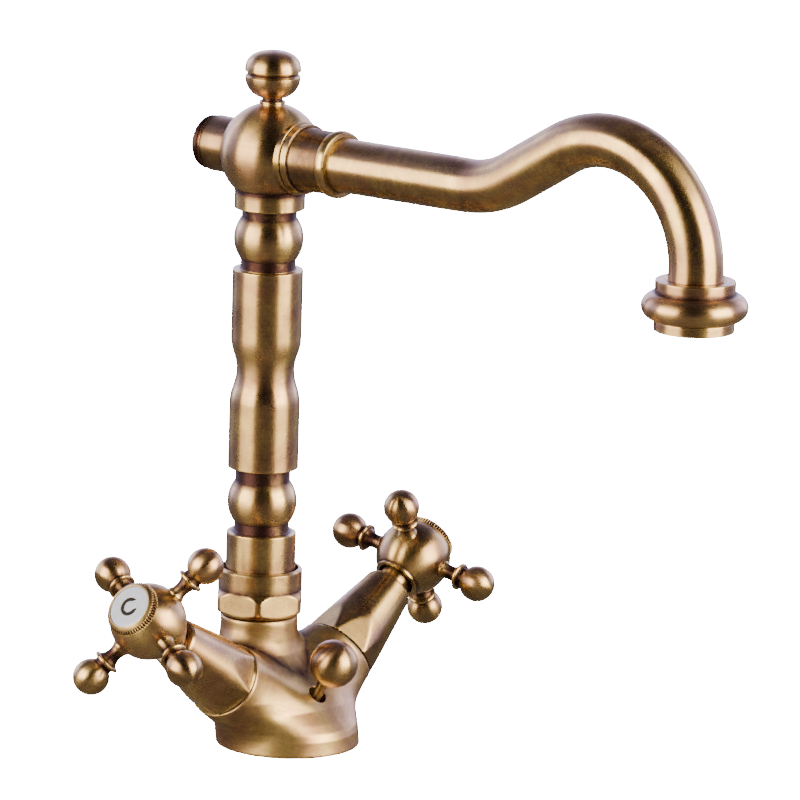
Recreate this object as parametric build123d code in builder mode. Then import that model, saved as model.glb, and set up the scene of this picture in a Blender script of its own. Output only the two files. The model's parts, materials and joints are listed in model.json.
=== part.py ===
"""Two-handle mixer faucet with a swivel spout, modelled as separate pieces.

The origin is the middle of the round foot on the deck, +Z points up, the spout
points along -Y and the hot and cold handles stand at -X and +X.
"""

import os
from math import cos, radians, sin, sqrt, tan

from build123d import *

# ---------------------------------------------------------------- driving dimensions, mm
foot_radius = 25.0
foot_rim_height = 5.0

column_y = 14.9
socket_radius = 13.7
socket_top = 44.0
socket_thread_radius = 11.5
socket_bore_radius = 8.6
socket_bore_floor = 20.0
socket_thread_floor = 35.5

handle_x = 70.4
handle_y = 3.9
handle_z = 54.9
handle_tilt = 35.0
arm_radius = 13.5
arm_mouth = -49.2
arm_thread_radius = 11.5
arm_thread_floor = -55.0
valve_bore_radius = 9.0
valve_seat = -66.0

popup_lean = 30.4
popup_exit_y = -14.0
popup_exit_z = 20.6
popup_knob_reach = 13.4

head_z = 210.0
head_radius = 17.9
tube_radius = 9.5
tube_wall = 1.2
spout_reach = 191.5
spout_root_z = 209.7
spout_rise = 1.3
spout_climb = 31.0
crest_radius = 39.0
crest_height = 236.0
dip_radius = 42.0
tube_end_z = 188.0
outlet_z = 177.0

tip_flat = 0.5
running_gap = 0.05
free_gap = 0.4

os.makedirs("parts", exist_ok=True)


# ---------------------------------------------------------------- shared helpers
def save(builder, name):
    """Label a finished piece and write it as its own STEP file."""
    builder.part.label = name
    export_step(builder.part, "parts/" + name + ".step")


def axial_section(origin, along, across):
    """Plane whose local X is the radius and whose local Y runs along a turning axis."""
    normal = Vector(*across).cross(Vector(*along)).normalized()
    return Plane(origin=origin, x_dir=across, z_dir=normal)


def turn(section, points, mode=Mode.ADD):
    """Turn a straight-sided outline of (radius, height) points about the section's own Y axis."""
    with BuildSketch(section, mode=Mode.PRIVATE) as outline:
        with BuildLine():
            Polyline(*points, close=True)
        make_face()
    revolve(outline.sketch, axis=Axis(section.origin, section.y_dir), mode=mode)


def turned_ring(section, inner, outer, low, high, mode=Mode.ADD):
    """Turn a plain ring or, with an inner radius of zero, a plain cylinder."""
    turn(section, [(inner, low), (outer, low), (outer, high), (inner, high)], mode)


column = axial_section((0, column_y, 0), (0, 0, 1), (1, 0, 0))
column_axis = Axis(column.origin, column.y_dir)
rise = tan(radians(spout_rise))
spout_root = axial_section((0, column_y, spout_root_z), (0, -1, rise), (1, 0, 0))
head_rear = axial_section((0, column_y, head_z), (0, -1, 0), (1, 0, 0))
outlet_y = column_y - spout_reach
outlet = axial_section((0, outlet_y, 0), (0, 0, 1), (1, 0, 0))
popup_way = Vector(0, -sin(radians(popup_lean)), cos(radians(popup_lean)))
popup_exit = (0, popup_exit_y, popup_exit_z)
popup = axial_section(popup_exit, tuple(popup_way), (1, 0, 0))


def handle_axis_direction(side):
    """Direction of a handle's axis, outwards from the body. side is -1 or 1."""
    return Vector(side * cos(radians(handle_tilt)), 0, sin(radians(handle_tilt)))


def handle_section(side):
    """Turning section of a handle, with heights counted from the middle of its hub."""
    hub = (side * handle_x, handle_y, handle_z)
    return axial_section(hub, tuple(handle_axis_direction(side)), (0, -1, 0))


def on_handle_axis(side, height):
    """Point on a handle's axis at a height counted from the middle of its hub."""
    return Vector(side * handle_x, handle_y, handle_z) + handle_axis_direction(side) * height


# ---------------------------------------------------------------- cast body
gasket_inner = 20.6
gasket_outer = 23.2
gasket_height = 2.0
inlet_x = 9.5
inlet_y = 4.0
inlet_radius = 4.5
inlet_depth = 11.0
passage_radius = 3.0
stud_y = 11.0
stud_radius = 3.4
stud_depth = 12.0
popup_bore_radius = 3.5
trunk_height = 15.0
trunk_y = 1.2
trunk_half_width = 30.0
trunk_half_depth = 18.6
web_height = 23.5
web_y = 3.0
web_half_width = 30.0
web_half_depth = 14.5
socket_root = 32.0
flare_floor = 1.0
flare_radius = 21.5
seat_way_end = -76.0
crossing_height = -58.0
chamber_z = 23.0

with BuildPart() as body_casting:
    # round foot that widens into the oval trunk between the two valve arms
    with BuildSketch():
        Circle(foot_radius)
    extrude(amount=foot_rim_height)
    with BuildSketch(Plane.XY.offset(foot_rim_height)):
        Circle(foot_radius)
    with BuildSketch(Plane.XY.offset(trunk_height)):
        with Locations((0, trunk_y)):
            Ellipse(trunk_half_width, trunk_half_depth)
    with BuildSketch(Plane.XY.offset(web_height)):
        with Locations((0, web_y)):
            Ellipse(web_half_width, web_half_depth)
    loft()
    # flare that leans back into the spout socket
    with BuildSketch(Plane.XY.offset(flare_floor)):
        Circle(flare_radius)
    with BuildSketch(Plane.XY.offset(socket_root)):
        with Locations((0, column_y)):
            Circle(socket_radius)
    loft()
    turned_ring(column, 0, socket_radius, socket_root, socket_top)
    # valve arms, from the middle of the body to their mouths
    for side in (-1, 1):
        arm_start = -handle_x / cos(radians(handle_tilt))
        turned_ring(handle_section(side), 0, arm_radius, arm_start, arm_mouth)
    split(bisect_by=Plane.XY, keep=Keep.TOP)
    # spout socket: thread for the nut, then the smooth bore for the swivel tail
    turned_ring(column, 0, socket_thread_radius, socket_thread_floor, socket_top, Mode.SUBTRACT)
    turned_ring(column, 0, socket_bore_radius, socket_bore_floor, socket_top, Mode.SUBTRACT)
    for side in (-1, 1):
        section = handle_section(side)
        turned_ring(section, 0, arm_thread_radius, arm_thread_floor, arm_mouth, Mode.SUBTRACT)
        turned_ring(section, 0, valve_bore_radius, valve_seat, arm_mouth, Mode.SUBTRACT)
        turned_ring(section, 0, inlet_radius, seat_way_end, valve_seat, Mode.SUBTRACT)
        # mixed water runs from the valve chamber to the spout socket
        chamber = on_handle_axis(side, crossing_height)
        target = Vector(0, column_y, chamber_z)
        crossing = Plane(origin=chamber, z_dir=target - chamber)
        with BuildSketch(crossing):
            Circle(passage_radius)
        extrude(amount=(target - chamber).length, mode=Mode.SUBTRACT)
        # inlet thread in the underside, then the way up to the valve seat
        with BuildSketch():
            with Locations((side * inlet_x, inlet_y)):
                Circle(inlet_radius)
        extrude(amount=inlet_depth, mode=Mode.SUBTRACT)
    with BuildSketch():
        with Locations((0, stud_y)):
            Circle(stud_radius)
    extrude(amount=stud_depth, mode=Mode.SUBTRACT)
    with BuildSketch():
        Circle(gasket_outer)
        Circle(gasket_inner, mode=Mode.SUBTRACT)
    extrude(amount=gasket_height, mode=Mode.SUBTRACT)
    turned_ring(popup, 0, popup_bore_radius, -2 * foot_radius, foot_radius, Mode.SUBTRACT)
save(body_casting, "body_casting")

with BuildPart() as base_gasket:
    with BuildSketch():
        Circle(gasket_outer)
        Circle(gasket_inner, mode=Mode.SUBTRACT)
    extrude(amount=gasket_height)
save(base_gasket, "base_gasket")

# ---------------------------------------------------------------- pop-up waste lift
popup_rod_radius = 1.9
bush_low = -19.0
bush_high = -6.0
rod_low = -20.0
knob_radius = 8.5

with BuildPart() as popup_guide_bush:
    turned_ring(popup, popup_rod_radius + running_gap, popup_bore_radius, bush_low, bush_high)
save(popup_guide_bush, "popup_guide_bush")

with BuildPart() as popup_rod:
    turned_ring(popup, 0, popup_rod_radius, rod_low, popup_knob_reach)
save(popup_rod, "popup_rod")

with BuildPart() as popup_knob:
    with Locations(Vector(*popup_exit) + popup_way * popup_knob_reach):
        Sphere(knob_radius)
    turned_ring(popup, 0, popup_rod_radius, rod_low, popup_knob_reach, Mode.SUBTRACT)
save(popup_knob, "popup_knob")

# ---------------------------------------------------------------- spout retaining nut and swivel
tail_radius = socket_bore_radius - 2 * running_gap
nut_seam = socket_top + 0.8
nut_hex_top = 53.6
nut_top = 61.2
nut_collar_radius = 14.9
nut_corner_radius = 16.5
nut_across_flats = 29.6
nut_skirt_floor = 38.0
ring_radius = 12.35
slip_floor = 56.2
slip_thickness = 0.8
ring_floor = slip_floor + slip_thickness + 0.1
ring_top = 74.0
clip_top = nut_skirt_floor - 0.4
clip_floor = clip_top - 1.2
clip_outer = 10.6
clip_inner = 7.3
clip_slot = 3.0
nut_turn = 10.0
nut_chamfer = 1.6
nut_edge = 0.7
tail_floor = 24.5
oring_heights = (27.0, 31.5)
oring_width = 2.0
oring_inner = 7.1
water_bore = 5.0

with BuildPart() as spout_retaining_nut:
    with BuildSketch(Plane.XY.offset(nut_seam)):
        with Locations((0, column_y)):
            RegularPolygon(nut_across_flats / 2, 6, major_radius=False, rotation=nut_turn)
    extrude(amount=nut_hex_top - nut_seam)
    # both ends of the hexagon are turned down to a chamfer
    hex_middle = (nut_seam + nut_hex_top) / 2
    with BuildSketch(column):
        with BuildLine():
            Polyline(
                (0, nut_seam),
                (nut_collar_radius, nut_seam),
                (nut_corner_radius, nut_seam + nut_chamfer),
                (nut_corner_radius + 2 * tip_flat, hex_middle),
                (nut_corner_radius, nut_hex_top - nut_chamfer),
                (nut_collar_radius, nut_hex_top),
                (0, nut_hex_top),
                close=True,
            )
        make_face()
    revolve(axis=column_axis, mode=Mode.INTERSECT)
    turn(column, [
        (0, nut_hex_top),
        (nut_collar_radius, nut_hex_top),
        (nut_collar_radius, nut_top - nut_edge),
        (nut_collar_radius - nut_edge, nut_top),
        (0, nut_top),
    ])
    turned_ring(column, 0, socket_thread_radius, nut_skirt_floor, nut_seam)
    turned_ring(column, 0, tail_radius + free_gap, nut_skirt_floor, nut_top, Mode.SUBTRACT)
    turned_ring(column, 0, ring_radius + free_gap, slip_floor, nut_top, Mode.SUBTRACT)
save(spout_retaining_nut, "spout_retaining_nut")

with BuildPart() as spout_slip_washer:
    slip_top = slip_floor + slip_thickness
    turned_ring(column, tail_radius + free_gap, ring_radius, slip_floor, slip_top)
save(spout_slip_washer, "spout_slip_washer")

with BuildPart() as spout_snap_ring:
    turned_ring(column, clip_inner, clip_outer, clip_floor, clip_top)
    with BuildSketch(Plane.XY.offset(clip_floor)):
        with Locations((0, column_y + clip_outer)):
            Rectangle(clip_slot, clip_outer)
    extrude(amount=clip_top - clip_floor, mode=Mode.SUBTRACT)
save(spout_snap_ring, "spout_snap_ring")

with BuildPart() as spout_orings:
    oring_outer = socket_bore_radius - running_gap
    for height in oring_heights:
        turned_ring(column, oring_inner, oring_outer, height, height + oring_width)
save(spout_orings, "spout_orings")

# ---------------------------------------------------------------- column
neck_radius = 9.7
lower_ball_z = 85.0
upper_ball_z = 179.7
column_ball_radius = 12.3
sleeve_radius = 12.45
sleeve_bottom = 97.3
sleeve_top = 168.7
sleeve_bore = 7.0
spigot_length = 8.0
waist_low = 120.5
waist_middle = 132.5
waist_high = 144.3
waist_radius = 10.25
head_collar_bottom = 190.5
head_collar_top = 197.3
edge = 0.4

with BuildPart() as column_lower_joint:
    turned_ring(column, 0, tail_radius, tail_floor, ring_floor)
    turn(column, [
        (0, ring_floor),
        (ring_radius, ring_floor),
        (ring_radius, ring_top - edge),
        (ring_radius - edge, ring_top),
        (0, ring_top),
    ])
    turned_ring(column, 0, neck_radius, ring_top, sleeve_bottom)
    turned_ring(column, 0, sleeve_bore, sleeve_bottom, sleeve_bottom + spigot_length)
    with Locations((0, column_y, lower_ball_z)):
        Sphere(column_ball_radius)
    for height in oring_heights:
        turned_ring(column, oring_inner, tail_radius, height, height + oring_width, Mode.SUBTRACT)
    turned_ring(column, clip_inner, tail_radius, clip_floor, clip_top, Mode.SUBTRACT)
    turned_ring(column, 0, water_bore, tail_floor, sleeve_bottom + spigot_length, Mode.SUBTRACT)
save(column_lower_joint, "column_lower_joint")

with BuildPart() as column_sleeve:
    with BuildSketch(column):
        with BuildLine():
            outer = Polyline(
                (sleeve_bore, sleeve_bottom),
                (sleeve_radius - edge, sleeve_bottom),
                (sleeve_radius, sleeve_bottom + edge),
                (sleeve_radius, waist_low),
            )
            waist = Spline(
                outer @ 1,
                (waist_radius, waist_middle),
                (sleeve_radius, waist_high),
                tangents=[(0, 1), (0, 1)],
            )
            Polyline(
                waist @ 1,
                (sleeve_radius, sleeve_top - edge),
                (sleeve_radius - edge, sleeve_top),
                (sleeve_bore, sleeve_top),
                outer @ 0,
            )
        make_face()
    revolve(axis=column_axis)
save(column_sleeve, "column_sleeve")

with BuildPart() as column_upper_joint:
    turned_ring(column, 0, sleeve_bore, sleeve_top - spigot_length, sleeve_top)
    turned_ring(column, 0, neck_radius, sleeve_top, head_collar_bottom)
    turned_ring(column, 0, sleeve_bore, head_collar_bottom, head_collar_bottom + spigot_length)
    with Locations((0, column_y, upper_ball_z)):
        Sphere(column_ball_radius)
    bore_top = head_collar_bottom + spigot_length
    turned_ring(column, 0, water_bore, sleeve_top - spigot_length, bore_top, Mode.SUBTRACT)
save(column_upper_joint, "column_upper_joint")

# ---------------------------------------------------------------- spout head
head_ring_radius = 12.9
head_ring_end = 14.6
root_spigot = 10.0
root_spigot_start = 6.0
cap_stud_radius = 6.0
cap_stud_start = -12.0
cap_radius = 9.9
cap_shoulder = -15.2
cap_groove = -26.4
cap_end = -31.6
finial_stud_radius = 3.0
finial_stud_bottom = 221.0
cap_groove_depth = 1.1
cap_groove_width = 1.2
cap_rim_radius = 9.5
cap_rim_end = -29.2
cap_dome_middle = (6.1, -30.6)

with BuildPart() as spout_head:
    with Locations((0, column_y, head_z)):
        Sphere(head_radius)
    turn(column, [
        (0, head_collar_bottom),
        (sleeve_radius - edge, head_collar_bottom),
        (sleeve_radius, head_collar_bottom + edge),
        (sleeve_radius, head_collar_top),
        (0, head_z),
    ])
    turned_ring(spout_root, 0, head_ring_radius, 0, head_ring_end)
    turned_ring(column, 0, sleeve_bore, head_collar_bottom, head_z, Mode.SUBTRACT)
    turned_ring(spout_root, 0, root_spigot, root_spigot_start, head_ring_end, Mode.SUBTRACT)
    turned_ring(spout_root, 0, head_radius, head_ring_end, head_radius + 1, Mode.SUBTRACT)
    turned_ring(head_rear, 0, cap_stud_radius, -head_radius, root_spigot_start, Mode.SUBTRACT)
    turned_ring(head_rear, 0, cap_radius, -head_radius, cap_shoulder, Mode.SUBTRACT)
    turned_ring(column, 0, finial_stud_radius, finial_stud_bottom, head_z + head_radius, Mode.SUBTRACT)
save(spout_head, "spout_head")

with BuildPart() as rear_cap:
    with BuildSketch(head_rear):
        with BuildLine():
            side_line = Polyline(
                (0, cap_stud_start),
                (cap_stud_radius, cap_stud_start),
                (cap_stud_radius, cap_shoulder),
                (cap_radius, cap_shoulder),
                (cap_radius, cap_groove + edge),
                (cap_radius - edge, cap_groove),
                (cap_radius - cap_groove_depth, cap_groove - edge / 2),
                (cap_radius - cap_groove_depth, cap_groove - cap_groove_width),
                (cap_rim_radius, cap_groove - cap_groove_width - edge),
                (cap_rim_radius, cap_rim_end),
            )
            dome = ThreePointArc(side_line @ 1, cap_dome_middle, (tip_flat, cap_end))
            Polyline(dome @ 1, (0, cap_end), side_line @ 0)
        make_face()
    revolve(axis=Axis(head_rear.origin, head_rear.y_dir))
save(rear_cap, "rear_cap")

finial_cap_radius = 9.9
finial_split = 238.3
finial_top = 247.0
finial_neck_radius = 3.6
finial_foot_radius = 4.6
finial_groove_depth = 1.0
finial_bowl_low = (7.2, 231.4)
finial_bowl_high = (9.5, 234.5)
head_top = head_z + head_radius
dome_base = finial_split + finial_groove_depth

with BuildPart() as finial:
    with BuildSketch(column):
        with BuildLine():
            stem = Polyline(
                (0, finial_stud_bottom),
                (finial_stud_radius, finial_stud_bottom),
                (finial_stud_radius, head_top),
                (finial_foot_radius, head_top),
                (finial_foot_radius, head_top + edge),
                (finial_neck_radius, head_top + 2 * edge),
                (finial_neck_radius, head_top + 4 * edge),
            )
            bowl = Spline(
                stem @ 1,
                finial_bowl_low,
                finial_bowl_high,
                (finial_cap_radius, finial_split - finial_groove_depth),
                tangents=[(1, 0.35), (0, 1)],
            )
            Polyline(
                bowl @ 1,
                (finial_cap_radius - finial_groove_depth, finial_split),
                (finial_cap_radius, dome_base),
            )
            dome = EllipticalCenterArc(
                (0, dome_base),
                finial_cap_radius,
                finial_top - dome_base,
                start_angle=0,
                arc_size=87,
            )
            Polyline(dome @ 1, (0, (dome @ 1).Y), stem @ 0)
        make_face()
    revolve(axis=column_axis)
save(finial, "finial")

# ---------------------------------------------------------------- spout
root_ring_radius = 12.35
root_ring_start = 15.0
root_ring_end = 17.4
cavetto_radius = 10.95
bead_middle = 31.9
bead_half_width = 1.9
bead_radius = 12.35
bead_end = bead_middle + bead_half_width
bead_foot_radius = 11.15
groove_radius = 11.55
collar_seat = 11.0
tube_start = 12.0

with BuildPart() as spout_root_collar:
    with BuildSketch(spout_root):
        with BuildLine():
            ring = Polyline(
                (tube_radius, collar_seat),
                (root_spigot, collar_seat),
                (root_spigot, head_ring_end),
                (groove_radius, head_ring_end),
                (groove_radius, root_ring_start),
                (root_ring_radius, root_ring_start),
                (root_ring_radius, root_ring_end - edge / 2),
                (groove_radius, root_ring_end),
            )
            cavetto = ThreePointArc(
                ring @ 1,
                (cavetto_radius, (root_ring_end + bead_middle) / 2),
                (bead_foot_radius, bead_middle - bead_half_width),
            )
            bead = ThreePointArc(
                cavetto @ 1,
                (bead_radius, bead_middle),
                (bead_foot_radius, bead_end),
            )
            Polyline(
                bead @ 1,
                (tube_radius, bead_end),
                ring @ 0,
            )
        make_face()
    revolve(axis=Axis(spout_root.origin, spout_root.y_dir))
save(spout_root_collar, "spout_root_collar")

climb = tan(radians(spout_climb))
bend_y = outlet_y + crest_radius
bend_z = crest_height - crest_radius
tangent_y = bend_y + crest_radius * sin(radians(spout_climb))
tangent_z = bend_z + crest_radius * cos(radians(spout_climb))
dip_y = (spout_root_z + rise * column_y - tangent_z - climb * tangent_y) / (rise - climb)
dip_z = spout_root_z + rise * (column_y - dip_y)
peak_z = tangent_z + climb * (tangent_y - outlet_y)
start_y = column_y - tube_start

with BuildPart() as spout_tube:
    with BuildLine(Plane.YZ) as route:
        FilletPolyline(
            (start_y, spout_root_z + rise * tube_start),
            (dip_y, dip_z),
            (outlet_y, peak_z),
            (outlet_y, tube_end_z),
            radius=[dip_radius, crest_radius],
        )
    with BuildSketch(Plane(origin=route.line @ 0, z_dir=route.line % 0)):
        Circle(tube_radius)
        Circle(tube_radius - tube_wall, mode=Mode.SUBTRACT)
    sweep(path=route.line)
save(spout_tube, "spout_tube")

end_collar_radius = 13.7
end_collar_top = 194.3
end_bead_z = 185.3
end_bead_radius = 18.2
end_bead_half_height = 4.7
housing_thread_radius = 12.0
end_bead_top = 190.0
end_bead_bottom = end_bead_z - end_bead_half_height
collar_lip = 1.6
collar_lip_depth = 1.2
washer_thickness = 1.2

with BuildPart() as spout_end_collar:
    with BuildSketch(outlet):
        with BuildLine():
            inside = Polyline(
                (end_collar_radius, end_bead_top),
                (end_collar_radius, end_collar_top - edge),
                (end_collar_radius - edge, end_collar_top),
                (tube_radius + collar_lip, end_collar_top),
                (tube_radius, end_collar_top - collar_lip_depth),
                (tube_radius, tube_end_z),
                (tube_radius - tube_wall, tube_end_z),
                (tube_radius - tube_wall, tube_end_z - washer_thickness),
                (housing_thread_radius, tube_end_z - washer_thickness),
                (housing_thread_radius, end_bead_bottom),
                (end_collar_radius, end_bead_bottom),
            )
            ThreePointArc(inside @ 1, (end_bead_radius, end_bead_z), inside @ 0)
        make_face()
    revolve(axis=Axis(outlet.origin, outlet.y_dir))
save(spout_end_collar, "spout_end_collar")

housing_top = tube_end_z - 2 * washer_thickness
housing_bore = 10.6
housing_lip = 9.8
insert_floor = outlet_z + 1.4
insert_top = housing_top - 1.0
screen_thickness = 0.8
screen_pitch = 1.9
screen_cells = 7
screen_hole = 0.8
insert_circle = 6.5
insert_count = 8
insert_hole = 1.2
insert_middle_hole = 2.4

with BuildPart() as aerator_housing:
    turn(outlet, [
        (housing_lip, outlet_z),
        (end_collar_radius - edge, outlet_z),
        (end_collar_radius, outlet_z + edge),
        (end_collar_radius, end_bead_bottom),
        (housing_thread_radius, end_bead_bottom),
        (housing_thread_radius, housing_top),
        (housing_bore, housing_top),
        (housing_bore, insert_floor),
        (housing_lip, insert_floor),
    ])
save(aerator_housing, "aerator_housing")

with BuildPart() as aerator_washer:
    washer_top = housing_top + washer_thickness
    turned_ring(outlet, tube_radius - tube_wall, housing_thread_radius, housing_top, washer_top)
save(aerator_washer, "aerator_washer")

with BuildPart() as aerator_screen:
    with BuildSketch(Plane.XY.offset(insert_floor)):
        with Locations((0, outlet_y)):
            Circle(housing_bore)
            with HexLocations(screen_pitch, screen_cells, screen_cells):
                Circle(screen_hole, mode=Mode.SUBTRACT)
    extrude(amount=screen_thickness)
save(aerator_screen, "aerator_screen")

with BuildPart() as aerator_insert:
    insert_bottom = insert_floor + screen_thickness
    turned_ring(outlet, 0, housing_bore, insert_bottom, insert_top)
    with BuildSketch(Plane.XY.offset(insert_bottom)):
        with Locations((0, outlet_y)):
            with PolarLocations(insert_circle, insert_count):
                Circle(insert_hole)
            Circle(insert_middle_hole)
    extrude(amount=insert_top - insert_bottom, mode=Mode.SUBTRACT)
save(aerator_insert, "aerator_insert")

# ---------------------------------------------------------------- cross handles
hub_radius = 13.45
hub_face = 9.3
lip_radius = 8.5
lip_end = -11.6
recess_radius = 7.0
hub_recess_floor = -8.6
sleeve_floor = -22.0
spline_top = -1.0
screw_radius = 1.9
screw_floor = -10.0
screw_seat = 3.0
screw_head_radius = 3.6
screw_head_height = 2.6
face_recess_radius = 7.4
index_rim_radius = 10.0
index_rim_top = 11.0
index_face = 12.3
index_lip_radius = 8.2
disc_face_radius = 7.8
disc_floor = 11.6
letter_height = 0.25
spoke_foot_radius = 3.3
spoke_neck_radius = 2.5
spoke_ring_radius = 5.0
spoke_stud_radius = 2.0
spoke_stud_start = 9.5
spoke_ring_at = 20.4
spoke_ball_at = 27.8
spoke_ball_radius = 6.45
spoke_ball_neck = 3.7
spoke_count = 4
spoke_foot_height = 1.0
spoke_neck_height = 3.4
spoke_ring_half = 0.6
spoke_ring_edge = 0.3
screw_socket = 1.5
screw_socket_depth = 1.6

# ---------------------------------------------------------------- valves
bonnet_front = -15.4
bonnet_nose = -16.6
bonnet_end = arm_mouth + 0.6
bonnet_nose_radius = 8.9
bonnet_end_radius = 13.9
bonnet_across_flats = 24.4
bonnet_flats_turn = 20.0
bonnet_nose_edge = (8.4, -15.7)
bonnet_front_radius = 7.5
sleeve_run_radius = 5.9
bonnet_bore = 8.2
bonnet_bore_top = -24.0
spindle_radius = 4.0
spindle_bore = spindle_radius + 2 * running_gap
disc_radius = 7.0
disc_chamber_top = -58.0
fixed_disc_top = -63.0
fixed_disc_floor = -65.0
disc_thickness = 2.0
seal_inner = 4.6
seal_outer = 7.5
valve_top = -26.0
gasket_width = 1.0
window_width = 7.0
window_height = 3.0
window_top = -59.0
port_circle = 3.6
port_radius = 2.0
moving_disc_floor = fixed_disc_top + 0.1
moving_disc_top = moving_disc_floor + disc_thickness
spindle_groove = -34.0
spindle_groove_radius = 2.9


def make_valve(side, name):
    """Build one valve: bonnet, gasket, cartridge body, fixed ceramic disc and seat seal."""
    section = handle_section(side)
    direction = handle_axis_direction(side)

    with BuildPart() as bonnet:
        turn(section, [
            (0, bonnet_end),
            (bonnet_end_radius, bonnet_end),
            (bonnet_nose_radius, bonnet_nose),
            bonnet_nose_edge,
            (bonnet_front_radius, bonnet_front),
            (0, bonnet_front),
        ])
        # spanner flats are milled into the wide end
        wide_end = on_handle_axis(side, bonnet_end)
        with BuildSketch(Plane(origin=wide_end, x_dir=(0, -1, 0), z_dir=direction)):
            Circle(2 * bonnet_end_radius)
            RegularPolygon(
                bonnet_across_flats / 2,
                6,
                major_radius=False,
                rotation=bonnet_flats_turn,
                mode=Mode.SUBTRACT,
            )
        extrude(amount=bonnet_front - bonnet_end, mode=Mode.SUBTRACT)
        turned_ring(section, 0, arm_thread_radius, arm_thread_floor, bonnet_end)
        turned_ring(section, 0, bonnet_bore, arm_thread_floor, bonnet_bore_top, Mode.SUBTRACT)
        mouth = sleeve_run_radius + free_gap
        turned_ring(section, 0, mouth, bonnet_bore_top, bonnet_front, Mode.SUBTRACT)
    save(bonnet, name + "_bonnet")

    with BuildPart() as gasket:
        turned_ring(section, arm_thread_radius, arm_thread_radius + gasket_width, arm_mouth, bonnet_end)
    save(gasket, name + "_bonnet_gasket")

    with BuildPart() as cartridge:
        turned_ring(section, 0, bonnet_bore, arm_thread_floor, valve_top)
        turned_ring(section, 0, valve_bore_radius, fixed_disc_floor, arm_thread_floor)
        turned_ring(section, 0, spindle_bore, disc_chamber_top, valve_top, Mode.SUBTRACT)
        turned_ring(section, 0, disc_radius + free_gap, fixed_disc_floor, disc_chamber_top, Mode.SUBTRACT)
        # side window that lets the water out of the disc chamber
        window = on_handle_axis(side, window_top)
        with BuildSketch(Plane(origin=window, x_dir=(0, 1, 0), z_dir=direction)):
            with Locations((valve_bore_radius, 0)):
                Rectangle(valve_bore_radius, window_width)
        extrude(amount=-window_height, mode=Mode.SUBTRACT)
    save(cartridge, name + "_cartridge_body")

    with BuildPart() as fixed_disc:
        turned_ring(section, 0, disc_radius + free_gap, fixed_disc_floor, fixed_disc_top)
        floor = on_handle_axis(side, fixed_disc_floor)
        with BuildSketch(Plane(origin=floor, x_dir=(0, -1, 0), z_dir=direction)):
            with PolarLocations(port_circle, 2):
                Circle(port_radius)
        extrude(amount=disc_thickness, mode=Mode.SUBTRACT)
    save(fixed_disc, name + "_fixed_disc")

    with BuildPart() as seal:
        turned_ring(section, seal_inner, seal_outer, valve_seat, fixed_disc_floor)
    save(seal, name + "_seat_seal")

    with BuildPart() as moving_disc:
        turned_ring(section, 0, disc_radius, moving_disc_floor, moving_disc_top)
        floor = on_handle_axis(side, moving_disc_floor)
        with BuildSketch(Plane(origin=floor, x_dir=(0, -1, 0), z_dir=direction)):
            with PolarLocations(port_circle, 2, start_angle=90):
                Circle(port_radius)
        extrude(amount=disc_thickness / 2, mode=Mode.SUBTRACT)
    save(moving_disc, name + "_moving_disc")

    with BuildPart() as spindle:
        turned_ring(section, 0, spindle_radius, moving_disc_top, spline_top)
        turned_ring(section, 0, sleeve_run_radius, sleeve_floor, hub_recess_floor)
        turned_ring(section, 0, screw_radius, screw_floor, spline_top, Mode.SUBTRACT)
        turned_ring(
            section,
            spindle_groove_radius,
            spindle_radius,
            spindle_groove,
            spindle_groove + oring_width,
            Mode.SUBTRACT,
        )
    save(spindle, name + "_spindle")

    with BuildPart() as spindle_oring:
        turned_ring(
            section,
            spindle_groove_radius,
            spindle_radius + running_gap,
            spindle_groove,
            spindle_groove + oring_width,
        )
    save(spindle_oring, name + "_spindle_oring")


# ---------------------------------------------------------------- handle pieces
def spoke_section(side, angle):
    """Turning section of one spoke, with heights counted from the middle of the hub."""
    up = Vector(sin(radians(handle_tilt)) * -side, 0, cos(radians(handle_tilt)))
    front = Vector(0, -1, 0)
    along = front * cos(radians(angle)) + up * sin(radians(angle))
    hub = (side * handle_x, handle_y, handle_z)
    return axial_section(hub, tuple(along), tuple(handle_axis_direction(side)))


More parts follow.
